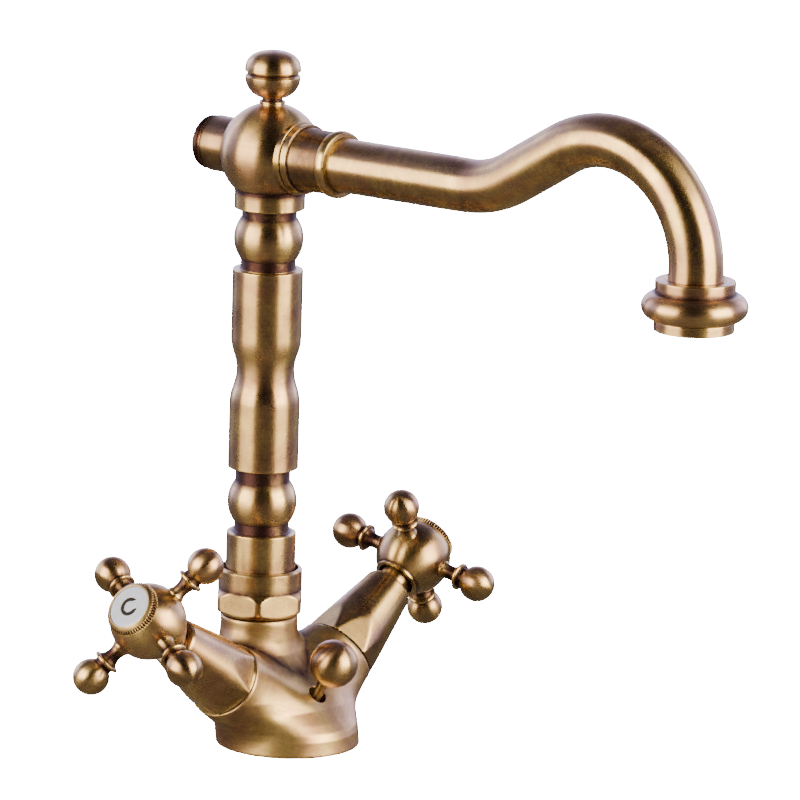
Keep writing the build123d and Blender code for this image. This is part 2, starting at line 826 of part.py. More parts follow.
def make_handle(side, name, first_angle):
    """Build one cross handle: hub, spokes, index ring, enamel disc and handle screw."""
    section = handle_section(side)
    direction = handle_axis_direction(side)
    spoke_sections = [spoke_section(side, first_angle + 90 * i) for i in range(spoke_count)]
    ring_low = spoke_ring_at - spoke_ring_half
    ring_high = spoke_ring_at + spoke_ring_half
    ball_start = spoke_ball_at - sqrt(spoke_ball_radius**2 - spoke_ball_neck**2)
    ball_tip = spoke_ball_at + sqrt(spoke_ball_radius**2 - tip_flat**2)

    with BuildPart() as hub:
        with BuildSketch(section):
            with BuildLine():
                bore = Polyline(
                    (lip_radius, -sqrt(hub_radius**2 - lip_radius**2)),
                    (lip_radius, lip_end),
                    (recess_radius, lip_end),
                    (recess_radius, hub_recess_floor),
                    (spindle_radius, hub_recess_floor),
                    (spindle_radius, spline_top),
                    (screw_radius, spline_top),
                    (screw_radius, screw_seat),
                    (face_recess_radius, screw_seat),
                    (face_recess_radius, hub_face),
                    (sqrt(hub_radius**2 - hub_face**2), hub_face),
                )
                ThreePointArc(bore @ 1, (hub_radius, 0), bore @ 0)
            make_face()
        revolve(axis=Axis(section.origin, section.y_dir))
        for spoke_plane in spoke_sections:
            hole = (0, spoke_stud_radius, spoke_stud_start, hub_radius)
            turned_ring(spoke_plane, *hole, Mode.SUBTRACT)
    save(hub, name + "_hub")

    for number, spoke_plane in enumerate(spoke_sections, start=1):
        with BuildPart() as spoke:
            with BuildSketch(spoke_plane):
                with BuildLine():
                    foot = Polyline(
                        (0, spoke_stud_start),
                        (spoke_stud_radius, spoke_stud_start),
                        (spoke_stud_radius, hub_radius),
                        (spoke_foot_radius, hub_radius),
                        (spoke_foot_radius, hub_radius + spoke_foot_height),
                    )
                    flare = Spline(
                        foot @ 1,
                        (spoke_neck_radius, hub_radius + spoke_neck_height),
                        (spoke_ring_radius - 1.0, ring_low - spoke_ring_edge),
                        tangents=[(-0.6, 1), (1, 0.45)],
                    )
                    rim = Polyline(
                        flare @ 1,
                        (spoke_ring_radius - spoke_ring_edge, ring_low),
                        (spoke_ring_radius, ring_low + spoke_ring_edge),
                        (spoke_ring_radius, ring_high - spoke_ring_edge),
                        (spoke_ring_radius - spoke_ring_edge, ring_high),
                        (spoke_ball_neck, ring_high + spoke_ring_edge),
                        (spoke_ball_neck, ball_start),
                    )
                    ThreePointArc(rim @ 1, (spoke_ball_radius, spoke_ball_at), (tip_flat, ball_tip))
                    Polyline((tip_flat, ball_tip), (0, ball_tip), foot @ 0)
                make_face()
            revolve(axis=Axis(spoke_plane.origin, spoke_plane.y_dir))
        save(spoke, name + "_spoke_" + str(number))

    with BuildPart() as index_ring:
        turn(section, [
            (0, hub_face),
            (index_rim_radius, hub_face),
            (index_rim_radius, index_rim_top),
            (index_lip_radius, index_face),
            (disc_face_radius, index_face),
            (disc_face_radius, disc_floor),
            (0, disc_floor),
        ])
    save(index_ring, name + "_index_ring")

    with BuildPart() as index_disc:
        turned_ring(section, 0, disc_face_radius, disc_floor, index_face - letter_height)
    save(index_disc, name + "_index_disc")

    with BuildPart() as screw:
        turned_ring(section, 0, screw_radius, screw_floor, screw_seat)
        turned_ring(section, 0, screw_head_radius, screw_seat, screw_seat + screw_head_height)
        head = on_handle_axis(side, screw_seat + screw_head_height)
        with BuildSketch(Plane(origin=head, z_dir=direction)):
            RegularPolygon(screw_socket, 6)
        extrude(amount=-screw_socket_depth, mode=Mode.SUBTRACT)
    save(screw, name + "_handle_screw")


letter_radius = 3.4
letter_stroke = 1.2
letter_leg = 6.6
letter_turn = 32.0


def letter_plane(side):
    """Face of an enamel disc, with local Y towards the top of the letter."""
    up = Vector(sin(radians(handle_tilt)) * -side, 0, cos(radians(handle_tilt)))
    direction = handle_axis_direction(side)
    origin = on_handle_axis(side, index_face - letter_height)
    across = up.cross(direction)
    turned = across * cos(radians(letter_turn)) + up * sin(radians(letter_turn))
    return Plane(origin=origin, x_dir=turned, z_dir=direction)


def make_hot_letter():
    """Raised letter C on the hot handle's disc."""
    with BuildPart() as letter:
        with BuildSketch(letter_plane(-1)):
            Circle(letter_radius)
            Circle(letter_radius - letter_stroke, mode=Mode.SUBTRACT)
            with Locations((letter_radius, 0)):
                Rectangle(letter_radius * 1.6, letter_radius, mode=Mode.SUBTRACT)
        extrude(amount=letter_height)
    save(letter, "left_letter_c")


def make_cold_letter():
    """Raised letter F on the cold handle's disc."""
    with BuildPart() as letter:
        with BuildSketch(letter_plane(1)):
            with Locations((-letter_stroke, 0)):
                Rectangle(letter_stroke, letter_leg)
            with Locations((letter_stroke / 2, (letter_leg - letter_stroke) / 2)):
                Rectangle(letter_radius, letter_stroke)
            with Locations((letter_stroke / 4, 0)):
                Rectangle(letter_radius * 0.8, letter_stroke)
        extrude(amount=letter_height)
    save(letter, "right_letter_f")


for side, name, first_angle in ((-1, "left", 60.9), (1, "right", 75.5)):
    make_valve(side, name)
    make_handle(side, name, first_angle)
make_hot_letter()
make_cold_letter()
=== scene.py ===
"""Looks of the two-handle mixer tap in aged brass, built around its fixed CAD frame."""

import json
import logging
from dataclasses import dataclass, field
from enum import Enum
from typing import Callable, Optional, Sequence

import bpy
import numpy as np
from mathutils import Matrix, Vector


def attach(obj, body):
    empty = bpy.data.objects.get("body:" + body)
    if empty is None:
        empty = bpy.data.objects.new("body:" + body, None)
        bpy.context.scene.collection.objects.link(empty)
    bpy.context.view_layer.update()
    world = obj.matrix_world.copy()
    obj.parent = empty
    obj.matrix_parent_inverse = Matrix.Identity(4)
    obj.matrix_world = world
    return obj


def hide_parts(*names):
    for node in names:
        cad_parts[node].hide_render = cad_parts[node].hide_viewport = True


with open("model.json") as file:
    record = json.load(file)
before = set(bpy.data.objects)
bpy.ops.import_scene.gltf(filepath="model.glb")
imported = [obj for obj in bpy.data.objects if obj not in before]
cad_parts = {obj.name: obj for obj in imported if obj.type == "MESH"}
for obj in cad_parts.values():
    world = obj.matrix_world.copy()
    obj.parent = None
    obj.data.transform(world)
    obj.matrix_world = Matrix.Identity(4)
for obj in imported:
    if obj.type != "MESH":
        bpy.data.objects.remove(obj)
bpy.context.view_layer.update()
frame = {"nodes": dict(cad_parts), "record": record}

logging.basicConfig(level=logging.INFO, format="%(message)s")
log = logging.getLogger("mixer_tap")

Array = np.ndarray
Shaping = Callable[[Array, Array, Array], Array]
Pair = tuple[float, float]
Triple = tuple[float, float, float]
Row = tuple[float, ...]
Material = bpy.types.Material
Node = bpy.types.Node
NodeTree = bpy.types.NodeTree
Socket = bpy.types.NodeSocket

MM = 0.001
UV_NAME = "lathe_uv"
UV_PER_MM = 0.01
GRID_STEP = 1.1
POLE_SIZE = 1e-4
NARROW_BLUR, NARROW_FULL = 0.9, 0.22
WIDE_BLUR, WIDE_FULL = 3.2, 0.62
TRACE_STEP = 0.15

# Places that several pieces share, in millimetres and degrees.
COLUMN_Y = 14.9
HUB_CENTRE = (70.4, 3.9, 54.9)
HANDLE_TILT = 35.0
SPOUT_ROOT_HEIGHT = 209.7
SPOUT_RISE = 1.3
HEAD_BOTTOM = 190.5


class Side(Enum):
    """The hot handle stands at -X and the cold one at +X."""

    LEFT = -1
    RIGHT = 1

    @property
    def label(self) -> str:
        """First word of every node name on this side."""
        return self.name.lower()

    @property
    def body(self) -> str:
        """CAD body that the handle on this side turns with."""
        return "hot_handle" if self is Side.LEFT else "cold_handle"


class Slot(Enum):
    """Material slots of the record."""

    AGED_BRASS = "aged_brass"
    BRIGHT_BRASS = "bright_brass"
    BLACK_RUBBER = "black_rubber"
    WHITE_PLASTIC = "white_plastic"
    VALVE_CERAMIC = "valve_ceramic"
    STAINLESS_STEEL = "stainless_steel"
    WHITE_ENAMEL = "white_enamel"
    DARK_ENAMEL = "dark_enamel"


class Grain(Enum):
    """How the brushing runs: round the lathe axis by the UV map, or through the solid metal."""

    LATHE = "lathe"
    SOLID = "solid"


# ---------------------------------------------------------------- outlines
def unit(vector: Sequence[float]) -> Array:
    """The vector at length one."""
    array = np.asarray(vector, float)
    return array / np.linalg.norm(array)


def arc(centre: Pair, radius: float, start: float, end: float, count: int = 40) -> Array:
    """Points of a circular arc.

    Formula: centre plus radius times (cosine, sine) of an angle that runs evenly from start to end.

    Args:
        centre: Radius and height of the arc's centre.
        radius: Arc radius.
        start: First angle in degrees, from the outward direction.
        end: Last angle in degrees.
        count: Number of points.

    Returns:
        An array of (radius, height) rows.
    """
    angles = np.radians(np.linspace(start, end, count))
    return np.column_stack([centre[0] + radius * np.cos(angles), centre[1] + radius * np.sin(angles)])


def oval_arc(
    centre: Pair, radii: Pair, start: float, end: float, count: int = 40, power: float = 1.0
) -> Array:
    """Points of an arc of an oval.

    Formula: centre plus each radius times the cosine or sine of an even angle, each raised to a power with
    its sign kept. A power below one gives squarer shoulders.

    Args:
        centre: Radius and height of the ellipse's centre.
        radii: Its half width and half height.
        start: First angle in degrees.
        end: Last angle in degrees.
        count: Number of points.
        power: Squareness of the oval.

    Returns:
        An array of (radius, height) rows.
    """
    angles = np.radians(np.linspace(start, end, count))
    wide, tall = (np.sign(wave) * np.abs(wave) ** power for wave in (np.cos(angles), np.sin(angles)))
    return np.column_stack([centre[0] + radii[0] * wide, centre[1] + radii[1] * tall])


def sweep_curve(first: Pair, pull_out: Pair, pull_in: Pair, last: Pair, count: int = 24) -> Array:
    """Points of a cubic Bezier curve, the four control points weighted by the Bernstein cubics.

    Args:
        first: Start point.
        pull_out: Control point that the curve leaves towards.
        pull_in: Control point that the curve arrives from.
        last: End point.
        count: Number of points.

    Returns:
        An array of (radius, height) rows.
    """
    t = np.linspace(0, 1, count)[:, None]
    a, b, c, d = (np.asarray(p, float)[None, :] for p in (first, pull_out, pull_in, last))
    return (1 - t) ** 3 * a + 3 * (1 - t) ** 2 * t * b + 3 * (1 - t) * t**2 * c + t**3 * d


def chain(*parts: object) -> Array:
    """Join points and curves into one outline, leaving out points that repeat their neighbour.

    Args:
        parts: (radius, height) pairs and arrays of them, in order.

    Returns:
        The outline as an array of (radius, height) rows.
    """
    outline = np.vstack([np.atleast_2d(np.asarray(part, float)) for part in parts])
    step = np.linalg.norm(np.diff(outline, axis=0), axis=1)
    return outline[np.concatenate([[True], step > 1e-6])]


def eased(outline: Array, radius: float, closed: bool = False) -> Array:
    """Round the sharp corners of an outline.

    Formula: each corner that turns by over 18 degrees becomes a quadratic Bezier curve between the points
    radius times the tangent of half the turn away from it, with one more point beside each end, so that
    smooth shading stays within the rounding.

    Args:
        outline: (radius, height) rows.
        radius: Rounding radius in millimetres.
        closed: Whether the outline's end joins its start.

    Returns:
        The rounded outline.
    """
    before = np.roll(outline, 1, axis=0) - outline
    after = np.roll(outline, -1, axis=0) - outline
    length_before = np.maximum(np.linalg.norm(before, axis=1), 1e-9)[:, None]
    length_after = np.maximum(np.linalg.norm(after, axis=1), 1e-9)[:, None]
    toward_before, toward_after = before / length_before, after / length_after
    turn = np.arccos(np.clip(-(toward_before * toward_after).sum(1), -1, 1))
    corner = turn > np.radians(18)
    if not closed:
        corner[[0, -1]] = False
    shorter = np.minimum(length_before, length_after)[:, 0]
    cut = np.where(corner, np.minimum(radius * np.tan(np.minimum(turn, 2.6) / 2), 0.35 * shorter), 0)[:, None]
    start, end = outline + toward_before * cut, outline + toward_after * cut
    t = np.linspace(0, 1, 5)[None, :, None]
    curve = (1 - t) ** 2 * start[:, None] + 2 * t * (1 - t) * outline[:, None] + t**2 * end[:, None]
    lead = start + toward_before * np.minimum(0.12, 0.1 * length_before)
    trail = end + toward_after * np.minimum(0.12, 0.1 * length_after)
    rows = np.concatenate([lead[:, None], curve, trail[:, None]], axis=1)
    keep = np.zeros(rows.shape[:2], bool)
    keep[corner] = True
    keep[~corner, 3] = True
    return rows[keep]


def filled(outline: Array, step: float = GRID_STEP) -> Array:
    """Add points along an outline so that none of its runs is longer than step.

    Formula: linear interpolation at the outline's own arc lengths together with even multiples of step.

    Args:
        outline: (radius, height) rows.
        step: Longest run in millimetres.

    Returns:
        The outline with the added points.
    """
    length = np.concatenate([[0], np.cumsum(np.linalg.norm(np.diff(outline, axis=0), axis=1))])
    even = np.arange(step, length[-1], step)
    nearest = np.abs(even[:, None] - length[None, :]).min(1)
    stations = np.sort(np.concatenate([length, even[nearest > 0.3 * step]]))
    return np.column_stack([np.interp(stations, length, outline[:, i]) for i in (0, 1)])


def hollows_and_edges(outline: Array, closed: bool) -> tuple[Array, Array]:
    """How deep in a recess and how much on a raised edge each point of an outline lies.

    Formula: the outline is blurred along its length by a narrow and a wide bell curve. Where the blurred
    line lies outside the real one the point is in a hollow, and where it lies inside the point is on an edge.

    Args:
        outline: (radius, height) rows.
        closed: Whether the outline's end joins its start.

    Returns:
        The hollow and edge values from 0 to 1, one each for every point.
    """
    length = np.concatenate([[0], np.cumsum(np.linalg.norm(np.diff(outline, axis=0), axis=1))])
    even = np.arange(0, length[-1] + TRACE_STEP, TRACE_STEP)
    track = np.column_stack([np.interp(even, length, outline[:, i]) for i in (0, 1)])
    slope = np.gradient(track, axis=0)
    outward = np.column_stack([slope[:, 1], -slope[:, 0]])
    outward /= np.maximum(np.linalg.norm(outward, axis=1), 1e-9)[:, None]

    def offset(width: float) -> Array:
        """Distance outwards from the real line to the line blurred over a width."""
        reach = int(3 * width / TRACE_STEP)
        weights = np.exp(-0.5 * (np.arange(-reach, reach + 1) * TRACE_STEP / width) ** 2)
        weights /= weights.sum()
        padded = np.pad(track, ((reach, reach), (0, 0)), mode="wrap" if closed else "edge")
        blurred = np.column_stack([np.convolve(padded[:, i], weights, mode="valid") for i in (0, 1)])
        return ((blurred - track) * outward).sum(1)

    narrow, wide = offset(NARROW_BLUR) / NARROW_FULL, offset(WIDE_BLUR) / WIDE_FULL
    hollow = np.clip(np.maximum(narrow, wide), 0, 1)
    edge = np.clip(-narrow - 0.15, 0, 1)
    return np.interp(length, even, hollow), np.interp(length, even, edge)


# ---------------------------------------------------------------- surfaces
@dataclass
class Sheet:
    """A grid of points whose columns run round and whose rows run along, in millimetres."""

    points: Array
    hollow: Array
    edge: Array
    closed: bool = False

    def faces(self) -> tuple[Array, Array, Array, Array, Array, Array]:
        """Quads and pole triangles of the grid.

        Formula: each cell joins a point to its neighbours round and along; a first or last row that
        shrinks to a point becomes a fan of triangles about one vertex.

        Returns:
            Vertices, rows of their hollow and edge values, quads, quad UVs, triangles and triangle UVs.
        """
        rows, columns = self.points.shape[:2]
        spread = np.linalg.norm(self.points - self.points.mean(1, keepdims=True), axis=2).max(1)
        pole_first = not self.closed and spread[0] < POLE_SIZE
        pole_last = not self.closed and spread[-1] < POLE_SIZE
        low, high = int(pole_first), rows - int(pole_last)
        body = self.points[low:high]
        count = high - low
        vertices = [body.reshape(-1, 3)]
        values = [np.column_stack([self.hollow[low:high].ravel(), self.edge[low:high].ravel()])]
        steps = np.linalg.norm(np.diff(self.points[:, 0], axis=0), axis=1)
        run = np.concatenate([[0], np.cumsum(steps)]) * UV_PER_MM
        row = np.arange(count if self.closed else count - 1)[:, None]
        column = np.arange(columns)[None, :]
        above, beside = (row + 1) % count, (column + 1) % columns
        here, next_row = row * columns, above * columns
        quads = np.stack([here + column, here + beside, next_row + beside, next_row + column], axis=-1)
        u0, u1 = column / columns + 0 * row, (column + 1) / columns + 0 * row
        v0 = run[low:high][row] + 0 * column
        v1 = run[low:high][np.minimum(row + 1, count - 1)] + 0 * column
        corners = ((u0, v0), (u1, v0), (u1, v1), (u0, v1))
        quad_uv = np.stack([np.stack(corner, -1) for corner in corners], axis=2)
        triangles, triangle_uv = [], []
        total = count * columns
        ring = np.arange(columns)
        turned = (ring + 1) % columns
        poles = ((pole_first, 0, 0, low), (pole_last, (count - 1) * columns, rows - 1, high - 1))
        for is_pole, base, index, rim in poles:
            if not is_pole:
                continue
            vertices.append(self.points[index, :1])
            values.append(np.array([[self.hollow[index, 0], self.edge[index, 0]]]))
            fan = np.stack([np.full(columns, total), base + turned, base + ring], -1)
            spots = ((ring + 0.5, run[index]), (ring + 1, run[rim]), (ring, run[rim]))
            fan_uv = np.stack([np.stack([u / columns, np.full(columns, v)], -1) for u, v in spots], axis=1)
            order = [0, 1, 2] if index == 0 else [0, 2, 1]
            triangles.append(fan[:, order])
            triangle_uv.append(fan_uv[:, order])
            total += 1
        return (
            np.vstack(vertices),
            np.vstack(values),
            quads.reshape(-1, 4),
            quad_uv.reshape(-1, 4, 2),
            np.vstack(triangles) if triangles else np.zeros((0, 3), int),
            np.vstack(triangle_uv) if triangle_uv else np.zeros((0, 3, 2)),
        )


@dataclass(frozen=True)
class TurningAxis:
    """An axis that outlines are turned about, given in millimetres."""

    origin: Triple
    along: Triple = (0.0, 0.0, 1.0)
    across: Triple = (1.0, 0.0, 0.0)

    def turned(
        self,
        outline: Array,
        around: int = 168,
        closed: bool = False,
        easing: float = 0.35,
        shaping: Optional[Shaping] = None,
        step: float = GRID_STEP,
        groove_shade_depth: float = 0.0,
        stain: Optional[Pair] = None,
    ) -> Sheet:
        """Turn an outline about the axis.

        Formula: origin, plus height times the axis direction, plus radius times the cosine and sine of the
        turning angle on the two directions across the axis. A shaping function may change the radius at
        each height and angle.

        Args:
            outline: (radius, height) rows.
            around: Number of columns in a full turn.
            closed: Whether the outline is a closed loop, as of a ring.
            easing: Rounding radius of its corners.
            shaping: Function of radius, height and angle that returns the radius to use.
            step: Longest run between rows.
            groove_shade_depth: Depth at which a shaped groove counts as a full hollow, which paints shade
                into the groove, or zero for none.
            stain: Radius below which the piece is fully stained, and the radius where the stain ends.

        Returns:
            The turned surface.
        """
        if closed:
            line = eased(outline, easing, closed=True)
            line = filled(np.vstack([line, line[:1]]), step)
            hollow, edge = hollows_and_edges(line, True)
            line, hollow, edge = line[:-1], hollow[:-1], edge[:-1]
        else:
            line = filled(eased(outline, easing), step)
            hollow, edge = hollows_and_edges(line, False)
        along, across = unit(self.along), unit(self.across)
        third = np.cross(along, across)
        angle = np.linspace(0, 2 * np.pi, around, endpoint=False)[None, :]
        radius, height = line[:, :1], line[:, 1:]
        wide = (len(line), around)
        if shaping is None:
            radius = np.broadcast_to(radius, wide)
        else:
            radius = shaping(radius, height, angle)
        points = (
            np.asarray(self.origin, float)
            + height[:, :, None] * along
            + (radius * np.cos(angle))[:, :, None] * across
            + (radius * np.sin(angle))[:, :, None] * third
        )
        # Painted shade: shaped grooves, such as the knurl's, get the hollow mark and so the patina's dark
        # colour.
        cut = np.clip((line[:, :1] - radius) / groove_shade_depth, 0, 1) if groove_shade_depth else np.zeros(wide)
        if stain is not None:
            hollow = np.maximum(hollow, np.clip((stain[1] - line[:, 0]) / (stain[1] - stain[0]), 0, 1))
        edges = np.broadcast_to(edge[:, None], wide) * (1 - cut)
        return Sheet(points, np.maximum(hollow[:, None], cut), edges, closed)


def flats(apothem: float, count: int, first: float, start: float, end: float, softness: float) -> Shaping:
    """Shaping that mills flats into a turned piece between two heights.

    Formula: the radius becomes the smooth smaller of itself and the flat's distance divided by the cosine
    of the angle from the flat's middle.

    Args:
        apothem: Distance from the axis to each flat.
        count: Number of flats.
        first: Angle of the first flat's middle in degrees.
        start: Height where the flats begin.
        end: Height where they end.
        softness: Width of the rounding between flat and turned surface.

    Returns:
        The shaping function.
    """

    def shape(radius: Array, height: Array, angle: Array) -> Array:
        """Radius of the piece with its flats."""
        wedge = 2 * np.pi / count
        from_middle = (angle - np.radians(first) + wedge / 2) % wedge - wedge / 2
        flat = apothem / np.cos(from_middle)
        within = (height > start) & (height < end)
        blended = -np.logaddexp(-radius / softness, -flat / softness) * softness
        lowered = np.where(flat < radius + 4 * softness, np.minimum(blended, radius), radius)
        return np.where(within, lowered, radius + 0 * angle)

    return shape


def knurl(depth: float, count: int, start: float, end: float) -> Shaping:
    """Shaping that cuts straight teeth into a rim.

    Formula: the radius is lowered by depth times a raised cosine of count times the turning angle, faded
    in and out over the rim's height.

    Args:
        depth: Depth of the teeth.
        count: Number of teeth.
        start: Height where the teeth begin.
        end: Height where they end.

    Returns:
        The shaping function.
    """

    def shape(radius: Array, height: Array, angle: Array) -> Array:
        """Radius of the piece with its teeth."""
        fade = np.clip((height - start) / 0.3, 0, 1) * np.clip((end - height) / 0.3, 0, 1)
        return radius - depth * fade * (0.5 + 0.5 * np.cos(count * angle)) ** 0.7

    return shape


def swept_tube(path: Array, outer: Array, inner: float, around: int = 144) -> Sheet:
    """Carry a round wall along a path that lies in a plane of constant X.

    Formula: at each path point, the radius times the cosine of the angle goes along X and its sine along
    the path's own normal; the rows run up the outside and back down the bore.

    Args:
        path: (y, z) rows in millimetres.
        outer: Outside radius at each row.
        inner: Bore radius.
        around: Number of columns.

    Returns:
        The closed tube wall.
    """
    slope = np.gradient(path, axis=0)
    slope /= np.linalg.norm(slope, axis=1)[:, None]
    normal = np.column_stack([-slope[:, 1], slope[:, 0]])
    there = np.concatenate([np.arange(len(path)), np.arange(len(path))[::-1]])
    radius = np.concatenate([outer, np.full(len(path), inner)])
    angle = -np.linspace(0, 2 * np.pi, around, endpoint=False)[None, :]
    centre, side = path[there], normal[there]
    x = radius[:, None] * np.cos(angle)
    y = centre[:, :1] + radius[:, None] * np.sin(angle) * side[:, :1]
    z = centre[:, 1:] + radius[:, None] * np.sin(angle) * side[:, 1:]
    points = np.stack([x, y, z], -1)
    flat = np.zeros(points.shape[:2])
    return Sheet(points, flat, flat, True)


def mesh_of(name: str, sheets: Sequence[Sheet]) -> bpy.types.Mesh:
    """Put sheets into one mesh, each turned outwards, with its UV map and its hollow and edge marks.

    Args:
        name: Mesh name.
        sheets: Surfaces in millimetres.

    Returns:
        The mesh, in metres.
    """
    vertices, values, polygons, uvs, offset = [], [], [], [], 0
    for sheet in sheets:
        points, marks, quads, quad_uv, triangles, triangle_uv = sheet.faces()
        first = points[quads[:, 0]]
        one, two = points[quads[:, 2]] - first, points[quads[:, 3]] - first
        three = points[quads[:, 1]] - first
        volume = (first * (np.cross(three, one) + np.cross(one, two))).sum()
        volume += (points[triangles[:, 0]] * np.cross(points[triangles[:, 1]], points[triangles[:, 2]])).sum()
        if volume < 0:
            quads, quad_uv = quads[:, ::-1], quad_uv[:, ::-1]
            triangles, triangle_uv = triangles[:, ::-1], triangle_uv[:, ::-1]
        vertices.append(points)
        values.append(marks)
        polygons += (quads + offset).tolist() + (triangles + offset).tolist()
        uvs += [quad_uv.reshape(-1, 2), triangle_uv.reshape(-1, 2)]
        offset += len(points)
    mesh = bpy.data.meshes.new(name)
    mesh.from_pydata((np.vstack(vertices) * MM).tolist(), [], polygons)
    mesh.polygons.foreach_set("use_smooth", np.ones(len(polygons), bool))
    layer = mesh.uv_layers.new(name=UV_NAME)
    layer.data.foreach_set("uv", np.vstack(uvs).astype(np.float32).ravel())
    marks = np.vstack(values).astype(np.float32)
    for column, label in enumerate(("hollow", "edge")):
        attribute = mesh.attributes.new(label, "FLOAT", "POINT")
        attribute.data.foreach_set("value", np.ascontiguousarray(marks[:, column]))
    mesh.update()
    return mesh


def make_piece(
    name: str, sheets: Sequence[Sheet], body: str, finish: Material, node: str
) -> bpy.types.Object:
    """Put sheets into one mesh object that rides on a CAD body and stands for a CAD node.

    Args:
        name: Object name.
        sheets: Surfaces in millimetres.
        body: CAD body that it rides on.
        finish: Material.
        node: CAD node that it stands for.

    Returns:
        The new object.
    """
    mesh = mesh_of(name, sheets)
    mesh.materials.append(finish)
    piece = bpy.data.objects.new(name, mesh)
    bpy.context.scene.collection.objects.link(piece)
    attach(piece, body)
    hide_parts(node)
    log.info("%s: %d faces on %s", name, len(mesh.polygons), body)
    return piece


def plug(radius: float, low: float, high: float) -> Array:
    """Outline of a plain cylinder between two heights."""
    return chain((0, low), (radius, low), (radius, high), (0, high))


def drill(piece: bpy.types.Object, sheet: Sheet, name: str) -> None:
    """Take a turned plug's volume away from a piece and keep the result in its mesh.

    Args:
        piece: Piece to drill.
        sheet: Closed surface of the plug.
        name: Name for the plug while it exists.
    """
    cutter = bpy.data.objects.new(name, mesh_of(name, [sheet]))
    bpy.context.scene.collection.objects.link(cutter)
    boolean = piece.modifiers.new(name, "BOOLEAN")
    boolean.operation, boolean.object, boolean.solver = "DIFFERENCE", cutter, "EXACT"
    drilled = bpy.data.meshes.new_from_object(piece.evaluated_get(bpy.context.evaluated_depsgraph_get()))
    piece.modifiers.clear()
    old, piece.data = piece.data, drilled
    bpy.data.meshes.remove(old)
    drilled.name = piece.name
    bpy.data.objects.remove(cutter)
    log.info("%s: drilled by %s, %d faces", piece.name, name, len(drilled.polygons))


# ---------------------------------------------------------------- shader groups
class Graph:
    """Short calls for placing and joining shader nodes in one tree."""

    def __init__(self, tree: NodeTree) -> None:
        """Keep the tree and start placing nodes at its left."""
        self.tree = tree
        self.count = 0

    def node(self, kind: str, **settings: object) -> Node:
        """Add a node and set its own properties.

        Args:
            kind: Blender's name of the node type.
            settings: Properties of the node.

        Returns:
            The node.
        """
        made = self.tree.nodes.new(kind)
        made.location = (180 * (self.count % 12), -220 * (self.count // 12))
        self.count += 1
        for key, value in settings.items():
            setattr(made, key, value)
        return made

    def feed(self, socket: Socket, value: object) -> None:
        """Join an output to a socket, or set the socket's own value."""
        if isinstance(value, Socket):
            self.tree.links.new(value, socket)
        else:
            socket.default_value = value

    def math(self, operation: str, *values: object, clamp: bool = False) -> Socket:
        """Output of a Math node on up to three inputs."""
        made = self.node("ShaderNodeMath", operation=operation, use_clamp=clamp)
        for socket, value in zip(made.inputs, values):
            self.feed(socket, value)
        return made.outputs[0]

    def noise(
        self,
        vector: object,
        scale: float,
        detail: float = 3.0,
        roughness: float = 0.5,
        distortion: float = 0.0,
    ) -> Socket:
        """Value output of a noise texture."""
        made = self.node("ShaderNodeTexNoise")
        self.feed(made.inputs["Vector"], vector)
        made.inputs["Scale"].default_value = scale
        made.inputs["Detail"].default_value = detail
        made.inputs["Roughness"].default_value = roughness
        made.inputs["Distortion"].default_value = distortion
        return made.outputs[0]

    def spread(
        self, value: object, low: float, high: float, to_low: float = 0.0, to_high: float = 1.0
    ) -> Socket:
        """Value stretched from one range to another and held within it."""
        made = self.node("ShaderNodeMapRange", clamp=True)
        for socket, number in zip(made.inputs, (value, low, high, to_low, to_high)):
            self.feed(socket, number)
        return made.outputs[0]

    def blend(self, factor: object, first: object, second: object, mode: str = "MIX") -> Socket:
        """Mix of two colours by a factor."""
        made = self.node("ShaderNodeMix", data_type="RGBA", blend_type=mode)
        self.feed(made.inputs[0], factor)
        self.feed(made.inputs[6], first)
        self.feed(made.inputs[7], second)
        return made.outputs[2]

    def scaled(self, vector: object, scale: Triple) -> Socket:
        """Vector multiplied axis by axis."""
        made = self.node("ShaderNodeVectorMath", operation="MULTIPLY")
        self.feed(made.inputs[0], vector)
        self.feed(made.inputs[1], scale)
        return made.outputs[0]


def new_group(
    name: str, inputs: Sequence[tuple[str, str, object]], outputs: Sequence[tuple[str, str]]
) -> tuple[NodeTree, Graph, Node, Node]:
    """Start a shader node group.

    Args:
        name: Group name.
        inputs: Name, socket type and first value of each input.
        outputs: Name and socket type of each output.

    Returns:
        The tree, its graph helper, and its input and output nodes.
    """
    tree = bpy.data.node_groups.new(name, "ShaderNodeTree")
    for label, kind, value in inputs:
        socket = tree.interface.new_socket(name=label, in_out="INPUT", socket_type=kind)
        if value is not None:
            socket.default_value = value
    for label, kind in outputs:
        tree.interface.new_socket(name=label, in_out="OUTPUT", socket_type=kind)
    graph = Graph(tree)
    return tree, graph, graph.node("NodeGroupInput"), graph.node("NodeGroupOutput")


